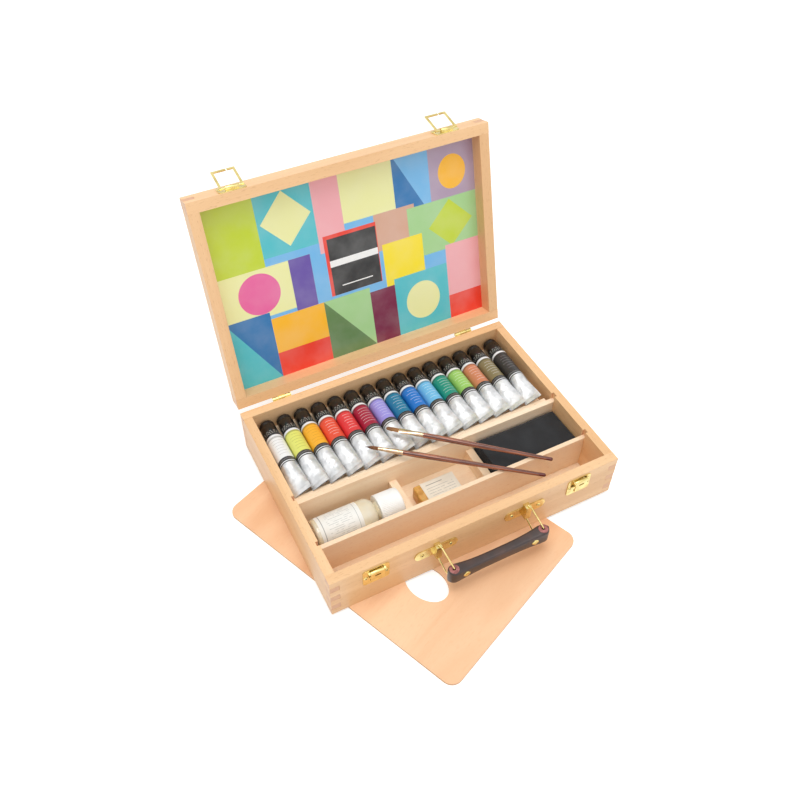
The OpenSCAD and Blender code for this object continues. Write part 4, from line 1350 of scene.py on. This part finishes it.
@dataclass
class Brush:
    """One brush: hair, ferrule and lacquered handle, laid over the tube tails and the front divider."""

    name: str
    towards: tuple[float, float]
    end: tuple[float, float]
    flat: bool
    length: float
    hair: float = 14 * MM
    ferrule: float = 27 * MM
    ferrule_radius: float = 2.8 * MM
    belly: float = 3.2 * MM
    hairs: int = 260
    hair_radius: float = 0.13 * MM

    def build(self, tubes: PaintTubes, metal: bpy.types.Material) -> None:
        """Dresses the handle and makes the ferrule and the hair.

        Args:
            tubes: The tubes that the brush lies on.
            metal: The ferrule's finish.
        """
        place = self._place(tubes)
        turn, start = place.to_3x3(), place.translation
        lacquer = LacquerFinish(start, turn, self.length).make(f"{self.name}_lacquer")
        dress_node(f"{self.name}_brush_handle", lacquer)
        body = f"{self.name}_brush"
        mouth = 2.1 * MM if self.flat else 1.9 * MM
        ferrule = self._ferrule(place, mouth, metal)
        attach(ferrule, body)
        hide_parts(f"{self.name}_brush_ferrule")
        root = rgb(176, 124, 72) if self.flat else rgb(150, 96, 54)
        tip = rgb(128, 82, 44) if self.flat else rgb(70, 38, 20)
        material = HairFinish(start, turn, self.hair, root, tip).make(f"{self.name}_hair")
        hair = self._hair_tree().grow(
            f"{self.name}_hair", Count=self.hairs, Length=self.hair + 1 * MM, Mouth=mouth - 0.15 * MM,
            Spread=1.25 if self.flat else 1.0, Thin=0.30 if self.flat else 1.0, Tip=0.9 if self.flat else 0.06,
            Strand=self.hair_radius, Seed=5, Material=material,
        )
        hair.data.transform(place)
        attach(hair, body)
        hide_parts(f"{self.name}_brush_hair")

    def _place(self, tubes: PaintTubes) -> Matrix:
        """Gives the brush's place, its tip at the origin and its handle along +Z."""
        towards, end = Vector(self.towards) * MM, Vector(self.end) * MM
        run = (towards - end).normalized()
        tail_rest = tubes.ridge_z + BOX.seat_gap + self.ferrule_radius
        front_rest = BOX.divider_top + BOX.seat_gap + self.belly
        to_tails = (tubes.tail_y + 2 * MM - end.y) / run.y
        to_divider = (BOX.wall + BOX.front_bay + BOX.front_divider / 2 - end.y) / run.y
        slope = math.atan2(tail_rest - front_rest, to_tails - to_divider)
        tip = end + run * self.length * math.cos(slope)
        tip_z = front_rest + self.length * math.sin(slope) - to_divider * math.tan(slope)
        spin = Matrix.Rotation(math.atan2(-run.y, -run.x), 4, "Z")
        spin = spin @ Matrix.Rotation(math.pi / 2 + slope, 4, "Y")
        return Matrix.Translation(BOX.at(tip.x, tip.y, tip_z)) @ spin

    def _ferrule(self, place: Matrix, mouth: float, metal: bpy.types.Material) -> bpy.types.Object:
        """Makes the ferrule with three crimped rings, pressed flat at a flat brush's mouth."""
        top = self.hair + self.ferrule
        r = self.ferrule_radius
        profile = [(mouth * 0.9, self.hair + 0.3 * MM), (mouth, self.hair)]
        profile += [(mouth + (r - mouth) * k / 6, self.hair + 0.8 * self.ferrule * k / 6) for k in range(1, 7)]
        for at in (0.84, 0.90, 0.96):
            z = self.hair + self.ferrule * at
            profile += [(r, z - 0.5 * MM), (r - 0.28 * MM, z), (r, z + 0.5 * MM)]
        profile += [(r, top), (r - 0.45 * MM, top)]
        rings, stations = turned(profile, 40)
        if self.flat:
            for ring, z in zip(rings, stations):
                press = 1 - 0.55 * max(0.0, 1 - (z - self.hair) / (0.75 * self.ferrule))
                for point in ring:
                    point.x *= press
                    point.y *= 2 - press if press < 1 else 1
        skin = Skin()
        skin.loft(rings, stations)
        return skin.piece(f"{self.name}_ferrule", metal, place, 60)

    def _hair_tree(self) -> GeometryNet:
        """Builds the tree of a hair bundle: strands that stand in the mouth and close towards the tip."""
        net = GeometryNet("hair")
        count = net.take("Count", 100)
        length, mouth, spread = (net.take(n, 0.1) for n in ("Length", "Mouth", "Spread"))
        thin, tip, strand = (net.take(n, 0.1) for n in ("Thin", "Tip", "Strand"))
        seed, material = net.take("Seed", 1), net.take("Material", None)
        points = net.add("GeometryNodePoints", {"Count": count}).outputs[0]
        index = Field(net, net.add("GeometryNodeInputIndex").outputs[0])
        root = net.calc("SQRT", (index + 0.5) / count)
        angle = index * GOLDEN_ANGLE + seed
        seat = net.vector(net.calc("COSINE", angle) * root, net.calc("SINE", angle) * root, 0.0)
        seated = net.add("GeometryNodeSetPosition", {"Geometry": points, "Position": seat}).outputs[0]
        line = net.add("GeometryNodeCurvePrimitiveLine", {"Start": (0, 0, 0), "End": (0, 0, 1)}).outputs[0]
        line = net.add("GeometryNodeResampleCurve", {"Curve": line, "Count": 9}).outputs[0]
        stood = net.add("GeometryNodeInstanceOnPoints", {"Points": seated, "Instance": line}).outputs[0]
        real = net.add("GeometryNodeRealizeInstances", {0: stood}).outputs[0]
        x, y, z = net.parts(net.add("GeometryNodeInputPosition").outputs[0])
        belly = 1.0 + net.calc("SINE", z * math.pi) * 0.22
        close = 1.0 + (tip - 1.0) * net.calc("POWER", z, 2.6)
        reach = mouth * belly * close
        height = length * (1.0 - z * (1.0 - (1.0 - (x * x + y * y) * 0.10)))
        spot = net.vector(x * reach * thin, y * reach * spread, length - height * z)
        shaped = net.add("GeometryNodeSetPosition", {"Geometry": real, "Position": spot}).outputs[0]
        fine = net.add("GeometryNodeSetCurveRadius", {"Curve": shaped, "Radius": 1.0 - z * 0.7}).outputs[0]
        ring = net.add("GeometryNodeCurvePrimitiveCircle", {"Resolution": 4, "Radius": strand}).outputs[0]
        swept = net.add("GeometryNodeCurveToMesh", {"Curve": fine, "Profile Curve": ring, "Fill Caps": True})
        if "Scale" in swept.inputs:
            net.feed(swept.inputs["Scale"], Field(net, net.add("GeometryNodeInputRadius").outputs[0]))
        net.close(swept.outputs[0], material)
        return net


@dataclass
class Bottle:
    """The small bottle that lies on its side: clear shoulder, paper label and white cap."""

    radius: float = 18 * MM
    side: float = 60 * MM
    shoulder: float = 13 * MM
    neck: float = 11 * MM
    cap_radius: float = 17 * MM
    cap_length: float = 27 * MM
    ribs: int = 60
    end_gap: float = 5.5 * MM

    def build(self) -> None:
        """Makes the bottle, its label and its cap."""
        x = BOX.wall + self.end_gap
        y = BOX.middle_y + BOX.middle_bay / 2
        z = BOX.base + BOX.seat_gap + self.radius
        place = Matrix.Translation(BOX.at(x, y, z)) @ Matrix.Rotation(math.pi / 2, 4, "Y")
        glass = self._bottle(place)
        label = self._label(place)
        for piece in (glass, label):
            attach(piece, "bottle")
        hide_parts("bottle")
        cap = self._cap(place)
        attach(cap, "bottle_cap")
        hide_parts("bottle_cap")

    def _bottle(self, place: Matrix) -> bpy.types.Object:
        """Makes the filled bottle as one clear amber body."""
        neck_end = self.side + self.shoulder + self.cap_length - 4 * MM
        r, s = self.radius, self.shoulder - 2 * MM
        profile = [(0.05 * MM, 0.8 * MM), (r - 6 * MM, 0.8 * MM), (r - 4 * MM, 0.0)]
        profile += fillet(r - 3 * MM, 3 * MM, 3 * MM, -70, 0, 6)
        profile += [(r, self.side * k / 4) for k in (1, 2, 3)]
        profile += fillet(r - s, self.side, s, 0, 78, 10)
        profile += [(self.neck, self.side + self.shoulder)]
        profile += [(self.neck, neck_end - 1 * MM), (self.neck - 1 * MM, neck_end)]
        skin = Skin()
        skin.loft(*turned(profile, 64))
        net = ShaderNet(
            "bottle_filling", Roughness=0.06, IOR=1.36, Transmission_Weight=0.3,
            Coat_Weight=0.6, Coat_Roughness=0.03,
        )
        milk = net.cloud(60, 2.0, 0.3, 0.7)
        net.set("Base Color", net.tint(milk, rgb(255, 248, 226), rgb(255, 238, 198)))
        return skin.piece("bottle_body", net.material, place, 50)

    def _label(self, place: Matrix) -> bpy.types.Object:
        """Makes the paper label, a thin band round the bottle's side."""
        start, end, out = 5 * MM, self.side - 8 * MM, 0.12 * MM
        profile = [(self.radius - 0.1 * MM, start), (self.radius + out, start)]
        profile += [(self.radius + out, start + (end - start) * k / 6) for k in range(1, 7)]
        profile += [(self.radius - 0.1 * MM, end)]
        rings, stations = turned(profile, 96)
        skin = Skin()
        skin.loft(rings, stations)
        skin.faces = skin.faces[:-2]
        skin.marks = skin.marks[:-2]
        return skin.piece("bottle_label", LabelFinish(start, end).make("bottle_paper"), place, 60)

    def _cap(self, place: Matrix) -> bpy.types.Object:
        """Makes the white cap with fine ribs round its side."""
        start = self.side + self.shoulder + 0.2 * MM
        r, length = self.cap_radius, self.cap_length
        profile = [(self.neck + 0.3 * MM, 1.5 * MM), (self.neck + 0.3 * MM, 0.0)]
        profile += [(r - 0.4 * MM, 0.0), (r, 0.4 * MM), (r, 2.0 * MM)]
        ribbed_from = len(profile)
        profile += [(r - 0.15 * MM, 2.4 * MM), (r - 0.25 * MM, length - 4.2 * MM)]
        ribbed_to = len(profile)
        profile += [(r - 0.35 * MM, length - 3.8 * MM)]
        profile += fillet(r - 2.2 * MM, length - 1.8 * MM, 1.8 * MM, 0, 90, 6) + [(0.05 * MM, length)]
        rings, stations = turned(profile, 4 * self.ribs)
        for number in range(ribbed_from, ribbed_to):
            for k, point in enumerate(rings[number]):
                if k % 4 in (0, 1):
                    point.xy *= 1 - 0.3 * MM / r
        skin = Skin()
        skin.loft(rings, stations)
        material = PlasticFinish(rgb(246, 246, 243), 0.35, 0.15, 0.02).make("white_cap")
        return skin.piece("bottle_screw_cap", material, place @ Matrix.Translation((0, 0, start)), 35)


@dataclass(frozen=True)
class LabelFinish:
    """White paper with plain printed rules and ticks."""

    start: float
    end: float
    paper: Rgba = rgb(238, 237, 231)
    ink: Rgba = rgb(96, 96, 98)
    rows: float = 52.0

    def make(self, name: str) -> bpy.types.Material:
        """Makes the finish, whose UV map gives the turn round the bottle and metres along it."""
        net = ShaderNet(name, Roughness=0.55)
        around, along = net.station()
        part = (along - self.start) / (self.end - self.start)
        rows = net.within(net.calc("FRACT", around * self.rows), 0.30, 0.55, 0.08)
        breaks = net.smooth(net.noise(net.vector(around * self.rows, part * 9.0, 0.0), 1.0, 1.0), 0.44, 0.50)
        block = net.within(part, 0.20, 0.80, 0.01)
        stripe = net.within(part, 0.075, 0.095, 0.004) + net.within(part, 0.90, 0.91, 0.003)
        ink = block * rows * breaks * 0.42 + stripe * 0.6
        cloud = net.cloud(90, 2.0, 0.3, 0.7)
        colour = net.tint(cloud * 0.12, self.paper, rgb(214, 210, 200))
        net.set("Base Color", net.tint(ink, colour, self.ink))
        net.bump(net.noise(net.coordinates(), 1200, 2.0), 0.02 * MM, 0.4)
        return net.material


@dataclass
class GumBlock:
    """The block of gum, rounded and amber, in its printed paper sleeve."""

    length: float = 49 * MM
    width: float = 30 * MM
    height: float = 20 * MM
    gap: float = 11 * MM
    forward: float = 5 * MM
    bare: float = 8 * MM

    def build(self) -> None:
        """Makes the block and its sleeve."""
        x = BOX.wall + BOX.bottle_bay + BOX.partition + self.gap
        y = BOX.middle_y + BOX.middle_bay / 2 - self.forward
        place = Matrix.Translation(BOX.at(x, y, BOX.base)) @ Matrix.Rotation(math.pi / 2, 4, "Y")
        gum = ShaderNet("gum", Roughness=0.35, Subsurface_Weight=0.35, Subsurface_Scale=0.004)
        cloud = gum.cloud(150, 3.0, 0.3, 0.7)
        gum.set("Base Color", gum.tint(cloud, rgb(222, 172, 92), rgb(196, 140, 62)))
        gum.bump(gum.noise(gum.coordinates(), 300, 2.0), 0.15 * MM, 0.6)
        block = self._bar(0.0, self.length, 0.25 * MM, 3.0 * MM, 1.6 * MM)
        block = block.piece("gum_bar", gum.material, place, 50)
        sleeve = self._bar(self.bare, self.length - 0.5 * MM, 0.0, 2.4 * MM, 0.0)
        sleeve = sleeve.piece("gum_sleeve", self._paper(place), place, 50)
        for piece in (block, sleeve):
            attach(piece, "gum_block")
        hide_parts("gum_block")

    def _bar(self, start: float, end: float, inset: float, corner: float, rounding: float) -> Skin:
        """Lofts a bar with round corners and rounded ends.

        Args:
            start: Where it starts along its length.
            end: Where it ends.
            inset: How far its sides lie within the block's sides.
            corner: The corner radius.
            rounding: How far its ends are rounded.

        Returns:
            The bar's skin.
        """
        rings, stations = [], []
        steps = [(start, rounding), (start + rounding * 0.3, rounding * 0.35), (start + rounding, 0.0)]
        steps += [(end - rounding, 0.0), (end - rounding * 0.3, rounding * 0.35), (end, rounding)]
        if not rounding:
            steps = [(start, 0.15 * MM), (start + 0.1 * MM, 0.0), (end - 0.1 * MM, 0.0), (end, 0.15 * MM)]
        for z, shrink in steps:
            less = inset + shrink
            outline = round_rectangle(self.height - 2 * less, self.width - 2 * less, corner)
            rings.append([Vector((px - self.height / 2, py, z)) for px, py in outline])
            stations.append(z)
        skin = Skin()
        skin.loft(rings, stations)
        return skin

    def _paper(self, place: Matrix) -> bpy.types.Material:
        """Makes the sleeve's paper with plain rules across its top."""
        net = ShaderNet("gum_paper", Roughness=0.5)
        _, across, along = net.parts(net.coordinates(place.to_3x3(), place.translation))
        top = net.smooth(net.facing(Vector((0, 0, 1))), 0.8, 0.95)
        rows = net.within(net.calc("FRACT", across / (3.4 * MM) + 0.2), 0.36, 0.52, 0.05)
        field_area = net.within(across, -self.width * 0.36, self.width * 0.22, 0.3 * MM)
        field_area = field_area * net.within(along, self.bare + 4 * MM, self.length - 5 * MM, 0.3 * MM)
        breaks = net.smooth(net.noise(net.vector(across * 300.0, along * 160.0, 0.0), 1.0, 1.0), 0.38, 0.46)
        swash = net.within(across, self.width * 0.28, self.width * 0.31, 0.2 * MM)
        swash = swash * net.within(along, self.bare + 5 * MM, self.length - 16 * MM, 0.3 * MM)
        cloud = net.cloud(80, 2.0, 0.3, 0.7)
        colour = net.tint(cloud * 0.3, rgb(238, 230, 214), rgb(220, 205, 182))
        printed = top * (rows * field_area * breaks * 0.55 + swash * 0.7)
        net.set("Base Color", net.tint(printed, colour, rgb(84, 78, 74)))
        net.bump(net.noise(net.coordinates(), 900, 2.0), 0.02 * MM, 0.4)
        return net.material


@dataclass
class Cloth:
    """The black cloth, folded to and fro into its compartment."""

    layers: int = 9
    thickness: float = 1.1 * MM
    height: float = 32.6 * MM
    gap: float = 1.6 * MM
    columns: int = 64

    def build(self) -> None:
        left = BOX.wall + BOX.bottle_bay + BOX.gum_bay + 2 * BOX.partition + self.gap
        right = BOX.width - BOX.wall - self.gap
        front, back = BOX.middle_y + self.gap, BOX.middle_y + BOX.middle_bay - self.gap
        path = self._path(front, back)
        rows, length = [], 0.0
        for number, (y, z) in enumerate(path):
            if number:
                length += (Vector(path[number]) - Vector(path[number - 1])).length
            rows.append((y, z, length))
        mesh = bpy.data.meshes.new("folded_cloth")
        points, faces, marks = [], [], []
        top = path[-1][1]
        for y, z, along in rows:
            for k in range(self.columns + 1):
                x = left + (right - left) * k / self.columns
                lift = (z - BOX.base) / (top - BOX.base)
                wave = noise.noise(Vector((x * 42, y * 42, lift * 3))) * 0.9 * MM * lift
                sag = -1.6 * MM * lift * math.sin(math.pi * k / self.columns) ** 2 * 0.6
                points.append(BOX.at(x, y, max(z + wave + sag, BOX.base + self.thickness)))
                marks.append((x, along))
        wide = self.columns + 1
        for i in range(len(rows) - 1):
            for k in range(self.columns):
                a = i * wide + k
                faces.append((a, a + 1, a + 1 + wide, a + wide))
        mesh.from_pydata([tuple(p) for p in points], [], faces)
        layer = mesh.uv_layers.new(name="UVMap")
        layer.data.foreach_set("uv", [c for face in faces for i in face for c in marks[i]])
        mesh.shade_smooth()
        mesh.materials.append(ClothFinish().make("black_cloth"))
        piece = put_in_scene("folded_cloth", mesh)
        solid = piece.modifiers.new("thickness", "SOLIDIFY")
        solid.thickness, solid.offset = self.thickness, 0.0
        settle(piece)
        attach(piece, "cloth")
        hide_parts("cloth")
        right - left
        LOG.info("cloth cut to %.0f x %.0f mm", (right - left) * 1000, length * 1000)

    def _path(self, front: float, back: float) -> list[tuple[float, float]]:
        """Gives the fold line from the bottom layer to the top one, seen from the side."""
        pitch = (self.height - self.thickness) / (self.layers - 1)
        bend = pitch / 2
        path = []
        for number in range(self.layers):
            z = BOX.base + self.thickness / 2 + 0.05 * MM + number * pitch
            ends = (front + bend, back - bend) if number % 2 == 0 else (back - bend, front + bend)
            steps = 14
            path += [(ends[0] + (ends[1] - ends[0]) * k / steps, z) for k in range(steps + 1)]
            if number < self.layers - 1:
                side = 1 if number % 2 == 0 else -1
                arc = [math.radians(-90 + 180 * k / 6) for k in range(1, 6)]
                path += [(ends[1] + side * bend * math.cos(a), z + bend + bend * math.sin(a)) for a in arc]
        return path


@dataclass(frozen=True)
class ClothFinish:
    """Black woven cloth."""

    colour: Rgba = rgb(23, 24, 27)
    thread: Rgba = rgb(42, 44, 48)

    def make(self, name: str) -> bpy.types.Material:
        """Makes the finish, whose UV map gives metres across and along the cloth."""
        net = ShaderNet(name, Roughness=0.85, Sheen_Weight=0.12, Sheen_Roughness=0.5)
        across, along = net.station()
        wave_x = net.calc("SINE", across * 9000.0)
        wave_y = net.calc("SINE", along * 9000.0)
        weave = wave_x * wave_y * 0.5 + 0.5
        cloud = net.cloud(70, 3.0, 0.35, 0.75)
        net.set("Base Color", net.tint(cloud * 0.5 + weave * 0.25, self.colour, self.thread))
        net.bump(weave, 0.12 * MM, 0.5)
        return net.material


@dataclass
class Handle:
    """The leather-covered grip, its end rings and its rosette rivets."""

    bracket_x: float = 53 * MM
    bracket_z: float = 38 * MM
    pivot_out: float = 4.4 * MM
    pivot_up: float = 2 * MM
    bail: float = 24 * MM
    swing: float = 13.8
    drop: float = 13.3 * MM
    end_height: float = 17.4 * MM
    mid_height: float = 14.6 * MM
    end_radius: float = 6.5 * MM
    thickness: float = 9.6 * MM
    bore: float = 1.6 * MM
    bore_reach: float = 10 * MM
    rivet_inset: float = 12 * MM
    rivet_radius: float = 4.2 * MM
    rivet_height: float = 1.2 * MM

    def build(self, brass: bpy.types.Material) -> None:
        """Makes the grip, the rings and the rivets.

        Args:
            brass: The rivets' finish.
        """
        swing = math.radians(self.swing)
        self.centre = BOX.at(
            BOX.width / 2 + self.bail * math.sin(swing),
            -self.pivot_out - self.bail * math.cos(swing),
            self.bracket_z + self.pivot_up - self.drop,
        )
        leather = LeatherFinish().make("grip_leather")
        grip = self._grip(leather)
        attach(grip, "grip")
        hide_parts("handle_grip")
        rings = self._rings()
        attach(rings, "grip")
        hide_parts("handle_grip")
        rivets = self._rosette_tree().grow(
            "rosettes", self._rivet_points(), Radius=self.rivet_radius, Height=self.rivet_height,
            Petals=4.0, Material=brass,
        )
        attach(rivets, "grip")
        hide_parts("grip_rivets")

    def _grip(self, leather: bpy.types.Material) -> bpy.types.Object:
        """Lofts the grip from end to end, with a hollow top and a ridge along its sides, and bores its ends."""
        reach = self.bracket_x + self.end_radius
        rings, stations = [], []
        steps = 72
        for number in range(steps + 1):
            a = math.pi * number / steps
            x = -reach * math.cos(a)
            inner = max(0.0, abs(x) - self.bracket_x) / self.end_radius
            squeeze = math.sqrt(max(0.0, 1 - inner * inner))
            blend = self._blend(x)
            height = self.mid_height + (self.end_height - self.mid_height) * blend
            width = self._width(blend) * max(squeeze, 0.02)
            lift = -(self.end_height - height) / 2
            ridge = 0.12 * (1 - blend)
            rings.append(self._section(x, width, height, lift, ridge))
            stations.append(x)
        skin = Skin()
        skin.loft(rings, stations)
        piece = skin.piece("leather_grip", leather, Matrix.Translation(self.centre), 50)
        for side in (-1, 1):
            drill = Skin()
            drill.loft(*turned([(self.bore, -self.bore_reach), (self.bore, self.bore_reach)], 24))
            end = self.centre + Vector((side * self.bracket_x, 0, 0))
            tool = drill.piece("drill", leather, Matrix.Translation(end))
            cut = piece.modifiers.new("bore", "BOOLEAN")
            cut.object, cut.operation, cut.solver = tool, "DIFFERENCE", "EXACT"
            settle(piece)
            bpy.data.objects.remove(tool)
        piece.data.shade_smooth()
        piece.data.set_sharp_from_angle(angle=math.radians(50))
        return piece

    def _blend(self, x: float) -> float:
        """Tells how far a place along the grip has widened from the middle's shape to the ends'."""
        return min(1.0, abs(x) / (self.bracket_x - 4 * MM)) ** 3

    def _width(self, blend: float) -> float:
        """Gives the grip's width from front to back."""
        return self.thickness + (2 * self.end_radius - self.thickness) * blend

    def _section(self, x: float, width: float, height: float, lift: float, ridge: float) -> list[Vector]:
        """Gives one cross-section: a round rectangle whose sides bulge to a ridge above their middle."""
        corner = min(2.6 * MM, width * 0.45)
        points = []
        for y, z in round_rectangle(width, height, corner, 6):
            part = z / (height / 2)
            swell = 1 + ridge * math.exp(-((part - 0.35) / 0.16) ** 2)
            points.append(Vector((x, y * swell, z + lift)))
        return points

    def _rings(self) -> bpy.types.Object:
        """Makes the reddish leather edge round each end's bore, above and below."""
        net = ShaderNet("grip_edge", Roughness=0.5)
        cloud = net.cloud(400, 2.0, 0.3, 0.7)
        net.set("Base Color", net.tint(cloud, rgb(178, 112, 108), rgb(132, 74, 70)))
        net.bump(net.noise(net.coordinates(), 900, 2.0), 0.08 * MM, 0.6)
        skin = Skin()
        half = self.end_height / 2
        ring = [(1.55 * MM, -0.5 * MM), (self.bore, 0.25 * MM), (3.4 * MM, 0.42 * MM)]
        ring += [(5.2 * MM, 0.25 * MM), (5.3 * MM, -0.5 * MM)]
        for side in (-1, 1):
            for up in (-1, 1):
                rings, stations = turned([(r, up * (half + z)) for r, z in ring], 40)
                shift = Vector((side * self.bracket_x, 0, 0))
                skin.loft([[p + shift for p in loop] for loop in rings + [rings[0]]], stations + [stations[0]])
                skin.faces, skin.marks = skin.faces[:-2], skin.marks[:-2]
        return skin.piece("grip_end_rings", net.material, Matrix.Translation(self.centre), 60)

    def _rivet_points(self) -> list[Vector]:
        """Gives the rosettes' seats on the front and the back of the grip."""
        x = self.bracket_x - self.rivet_inset
        out = self._width(self._blend(x)) / 2 - 0.1 * MM
        return [self.centre + Vector((s * x, side * out, -0.9 * MM)) for s in (-1, 1) for side in (-1, 1)]

    def _rosette_tree(self) -> GeometryNet:
        """Builds the tree that sets a small domed rosette on every point, facing forwards or backwards."""
        net = GeometryNet("rosettes")
        radius, height, petals = net.take("Radius", 0.1), net.take("Height", 0.1), net.take("Petals", 5.0)
        material = net.take("Material", None)
        ball = net.add("GeometryNodeMeshUVSphere", {"Segments": 64, "Rings": 20, "Radius": 1.0}).outputs[0]
        x, y, z = net.parts(net.add("GeometryNodeInputPosition").outputs[0])
        angle = net.calc("ARCTAN2", z, x)
        lobe = 0.84 + abs(net.calc("COSINE", angle * (petals * 0.5))) * 0.16
        away = net.calc("SQRT", x * x + z * z)
        dimple = 1.0 - net.within(away, 0.28, 0.44, 0.05) * 0.35
        spot = net.vector(x * radius * lobe, y * height * dimple, z * radius * lobe)
        shaped = net.add("GeometryNodeSetPosition", {"Geometry": ball, "Position": spot}).outputs[0]
        spread = {"Points": net.source.outputs["Geometry"], "Instance": shaped}
        net.close(net.add("GeometryNodeInstanceOnPoints", spread).outputs[0], material)
        return net


@dataclass(frozen=True)
class Lamp:
    """A square area lamp that looks at the box: its name, place, side and power."""

    name: str
    place: tuple[float, float, float]
    side: float
    power: float
    target: tuple[float, float, float] = (0, 0, 0.08)

    def put(self) -> None:
        """Sets the lamp in the scene."""
        data = bpy.data.lights.new(self.name, "AREA")
        data.size, data.energy = self.side, self.power
        lamp = put_in_scene(self.name, data)
        lamp.location = self.place
        aim = Vector(self.target) - Vector(self.place)
        lamp.rotation_euler = aim.to_track_quat("-Z", "Y").to_euler()


@dataclass
class Studio:
    """White floor, soft light and the camera at the photograph's angle."""

    camera_place: tuple[float, float, float] = (-0.30835, -0.51827, 0.78512)
    camera_turn: tuple[float, float, float] = (42.06, -0.673, -27.285)
    focal_pixels: float = 858.98
    sensor: float = 36.0
    floor_side: float = 8.0
    floor_drop: float = 0.2 * MM
    floor_grey: float = 0.86
    floor_glow: float = 0.42
    world_fill: float = 0.68
    lamps: tuple[Lamp, ...] = (
        Lamp("key", (-0.25, -0.15, 2.2), 1.2, 20.0),
        Lamp("fill", (0.4, -1.3, 1.6), 1.6, 6.0),
    )

    def build(self) -> None:
        """Sets the camera, the floor, the world and the lamps."""
        self._camera()
        self._floor()
        self._world()
        for lamp in self.lamps:
            lamp.put()
        bpy.context.scene.view_settings.view_transform = "Standard"

    def _camera(self) -> None:
        """Makes the camera that the photograph was solved for."""
        data = bpy.data.cameras.new("camera")
        data.sensor_width = self.sensor
        data.lens = self.focal_pixels / IMAGE_SIDE * self.sensor
        data.clip_start, data.clip_end = 0.01, 20
        camera = put_in_scene("camera", data)
        camera.location = self.camera_place
        camera.rotation_euler = Euler([math.radians(a) for a in self.camera_turn])
        bpy.context.scene.camera = camera

    def _floor(self) -> None:
        """Makes the floor, white to the camera where it is lit and darker where shadow lies."""
        half = self.floor_side / 2
        mesh = bpy.data.meshes.new("floor")
        around = ((-half, -half), (half, -half), (half, half), (-half, half))
        corners = [(x, y, -self.floor_drop) for x, y in around]
        mesh.from_pydata(corners, [], [(0, 1, 2, 3)])
        material = bpy.data.materials.new("floor")
        material.use_nodes = True
        net = Net(material.node_tree)
        net.tree.nodes.clear()
        grey = (self.floor_grey,) * 3 + (1,)
        diffuse = net.add("ShaderNodeBsdfDiffuse", {"Color": grey}).outputs[0]
        strength = net.seen() * self.floor_glow
        glow = net.add("ShaderNodeEmission", {"Color": (1, 1, 1, 1), "Strength": strength}).outputs[0]
        both = net.add("ShaderNodeAddShader", {0: diffuse, 1: glow}).outputs[0]
        net.add("ShaderNodeOutputMaterial", {"Surface": both})
        mesh.materials.append(material)
        floor = put_in_scene("floor", mesh)

    def _world(self) -> None:
        """Makes the world white to the camera, to gloss and through glass, and a soft fill otherwise."""
        world = bpy.data.worlds.new("studio")
        world.use_nodes = True
        bpy.context.scene.world = world
        net = Net(world.node_tree)
        net.tree.nodes.clear()
        strength = self.world_fill + net.seen() * (1.0 - self.world_fill)
        back = net.add("ShaderNodeBackground", {"Color": (1, 1, 1, 1), "Strength": strength}).outputs[0]
        net.add("ShaderNodeOutputWorld", {"Surface": back})


def clear_defaults() -> None:
    """Removes what a new Blender file starts with."""
    for name in ("Cube", "Light", "Camera"):
        found = bpy.data.objects.get(name)
        if found is not None:
            bpy.data.objects.remove(found)


def main() -> None:
    """Builds every part of the scene in order, and logs each stage."""
    logging.basicConfig(level=logging.INFO, format="%(message)s")
    clear_defaults()
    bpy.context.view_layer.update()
    Studio().build()
    LOG.info("studio")
    Woodwork().dress()
    Palette().dress()
    LidPrint().dress()
    LOG.info("woodwork, palette and print")
    fittings = Fittings()
    fittings.build()
    LOG.info("fittings")
    Handle().build(fittings.material)
    LOG.info("handle")
    tubes = PaintTubes()
    tubes.build()
    LOG.info("tubes")
    ferrule_metal = MetalFinish(rgb(226, 200, 170), rgb(182, 148, 116), 0.18).make("ferrule_metal")
    Brush("round", (101.9, 132.1), (263, 21.8), flat=False, length=196 * MM).build(tubes, ferrule_metal)
    Brush("flat", (132.8, 143.9), (280.6, 35.1), flat=True, length=184 * MM).build(tubes, ferrule_metal)
    LOG.info("brushes")
    Bottle().build()
    GumBlock().build()
    Cloth().build()
    LOG.info("bottle, gum and cloth")


if __name__ == "__main__":
    main()
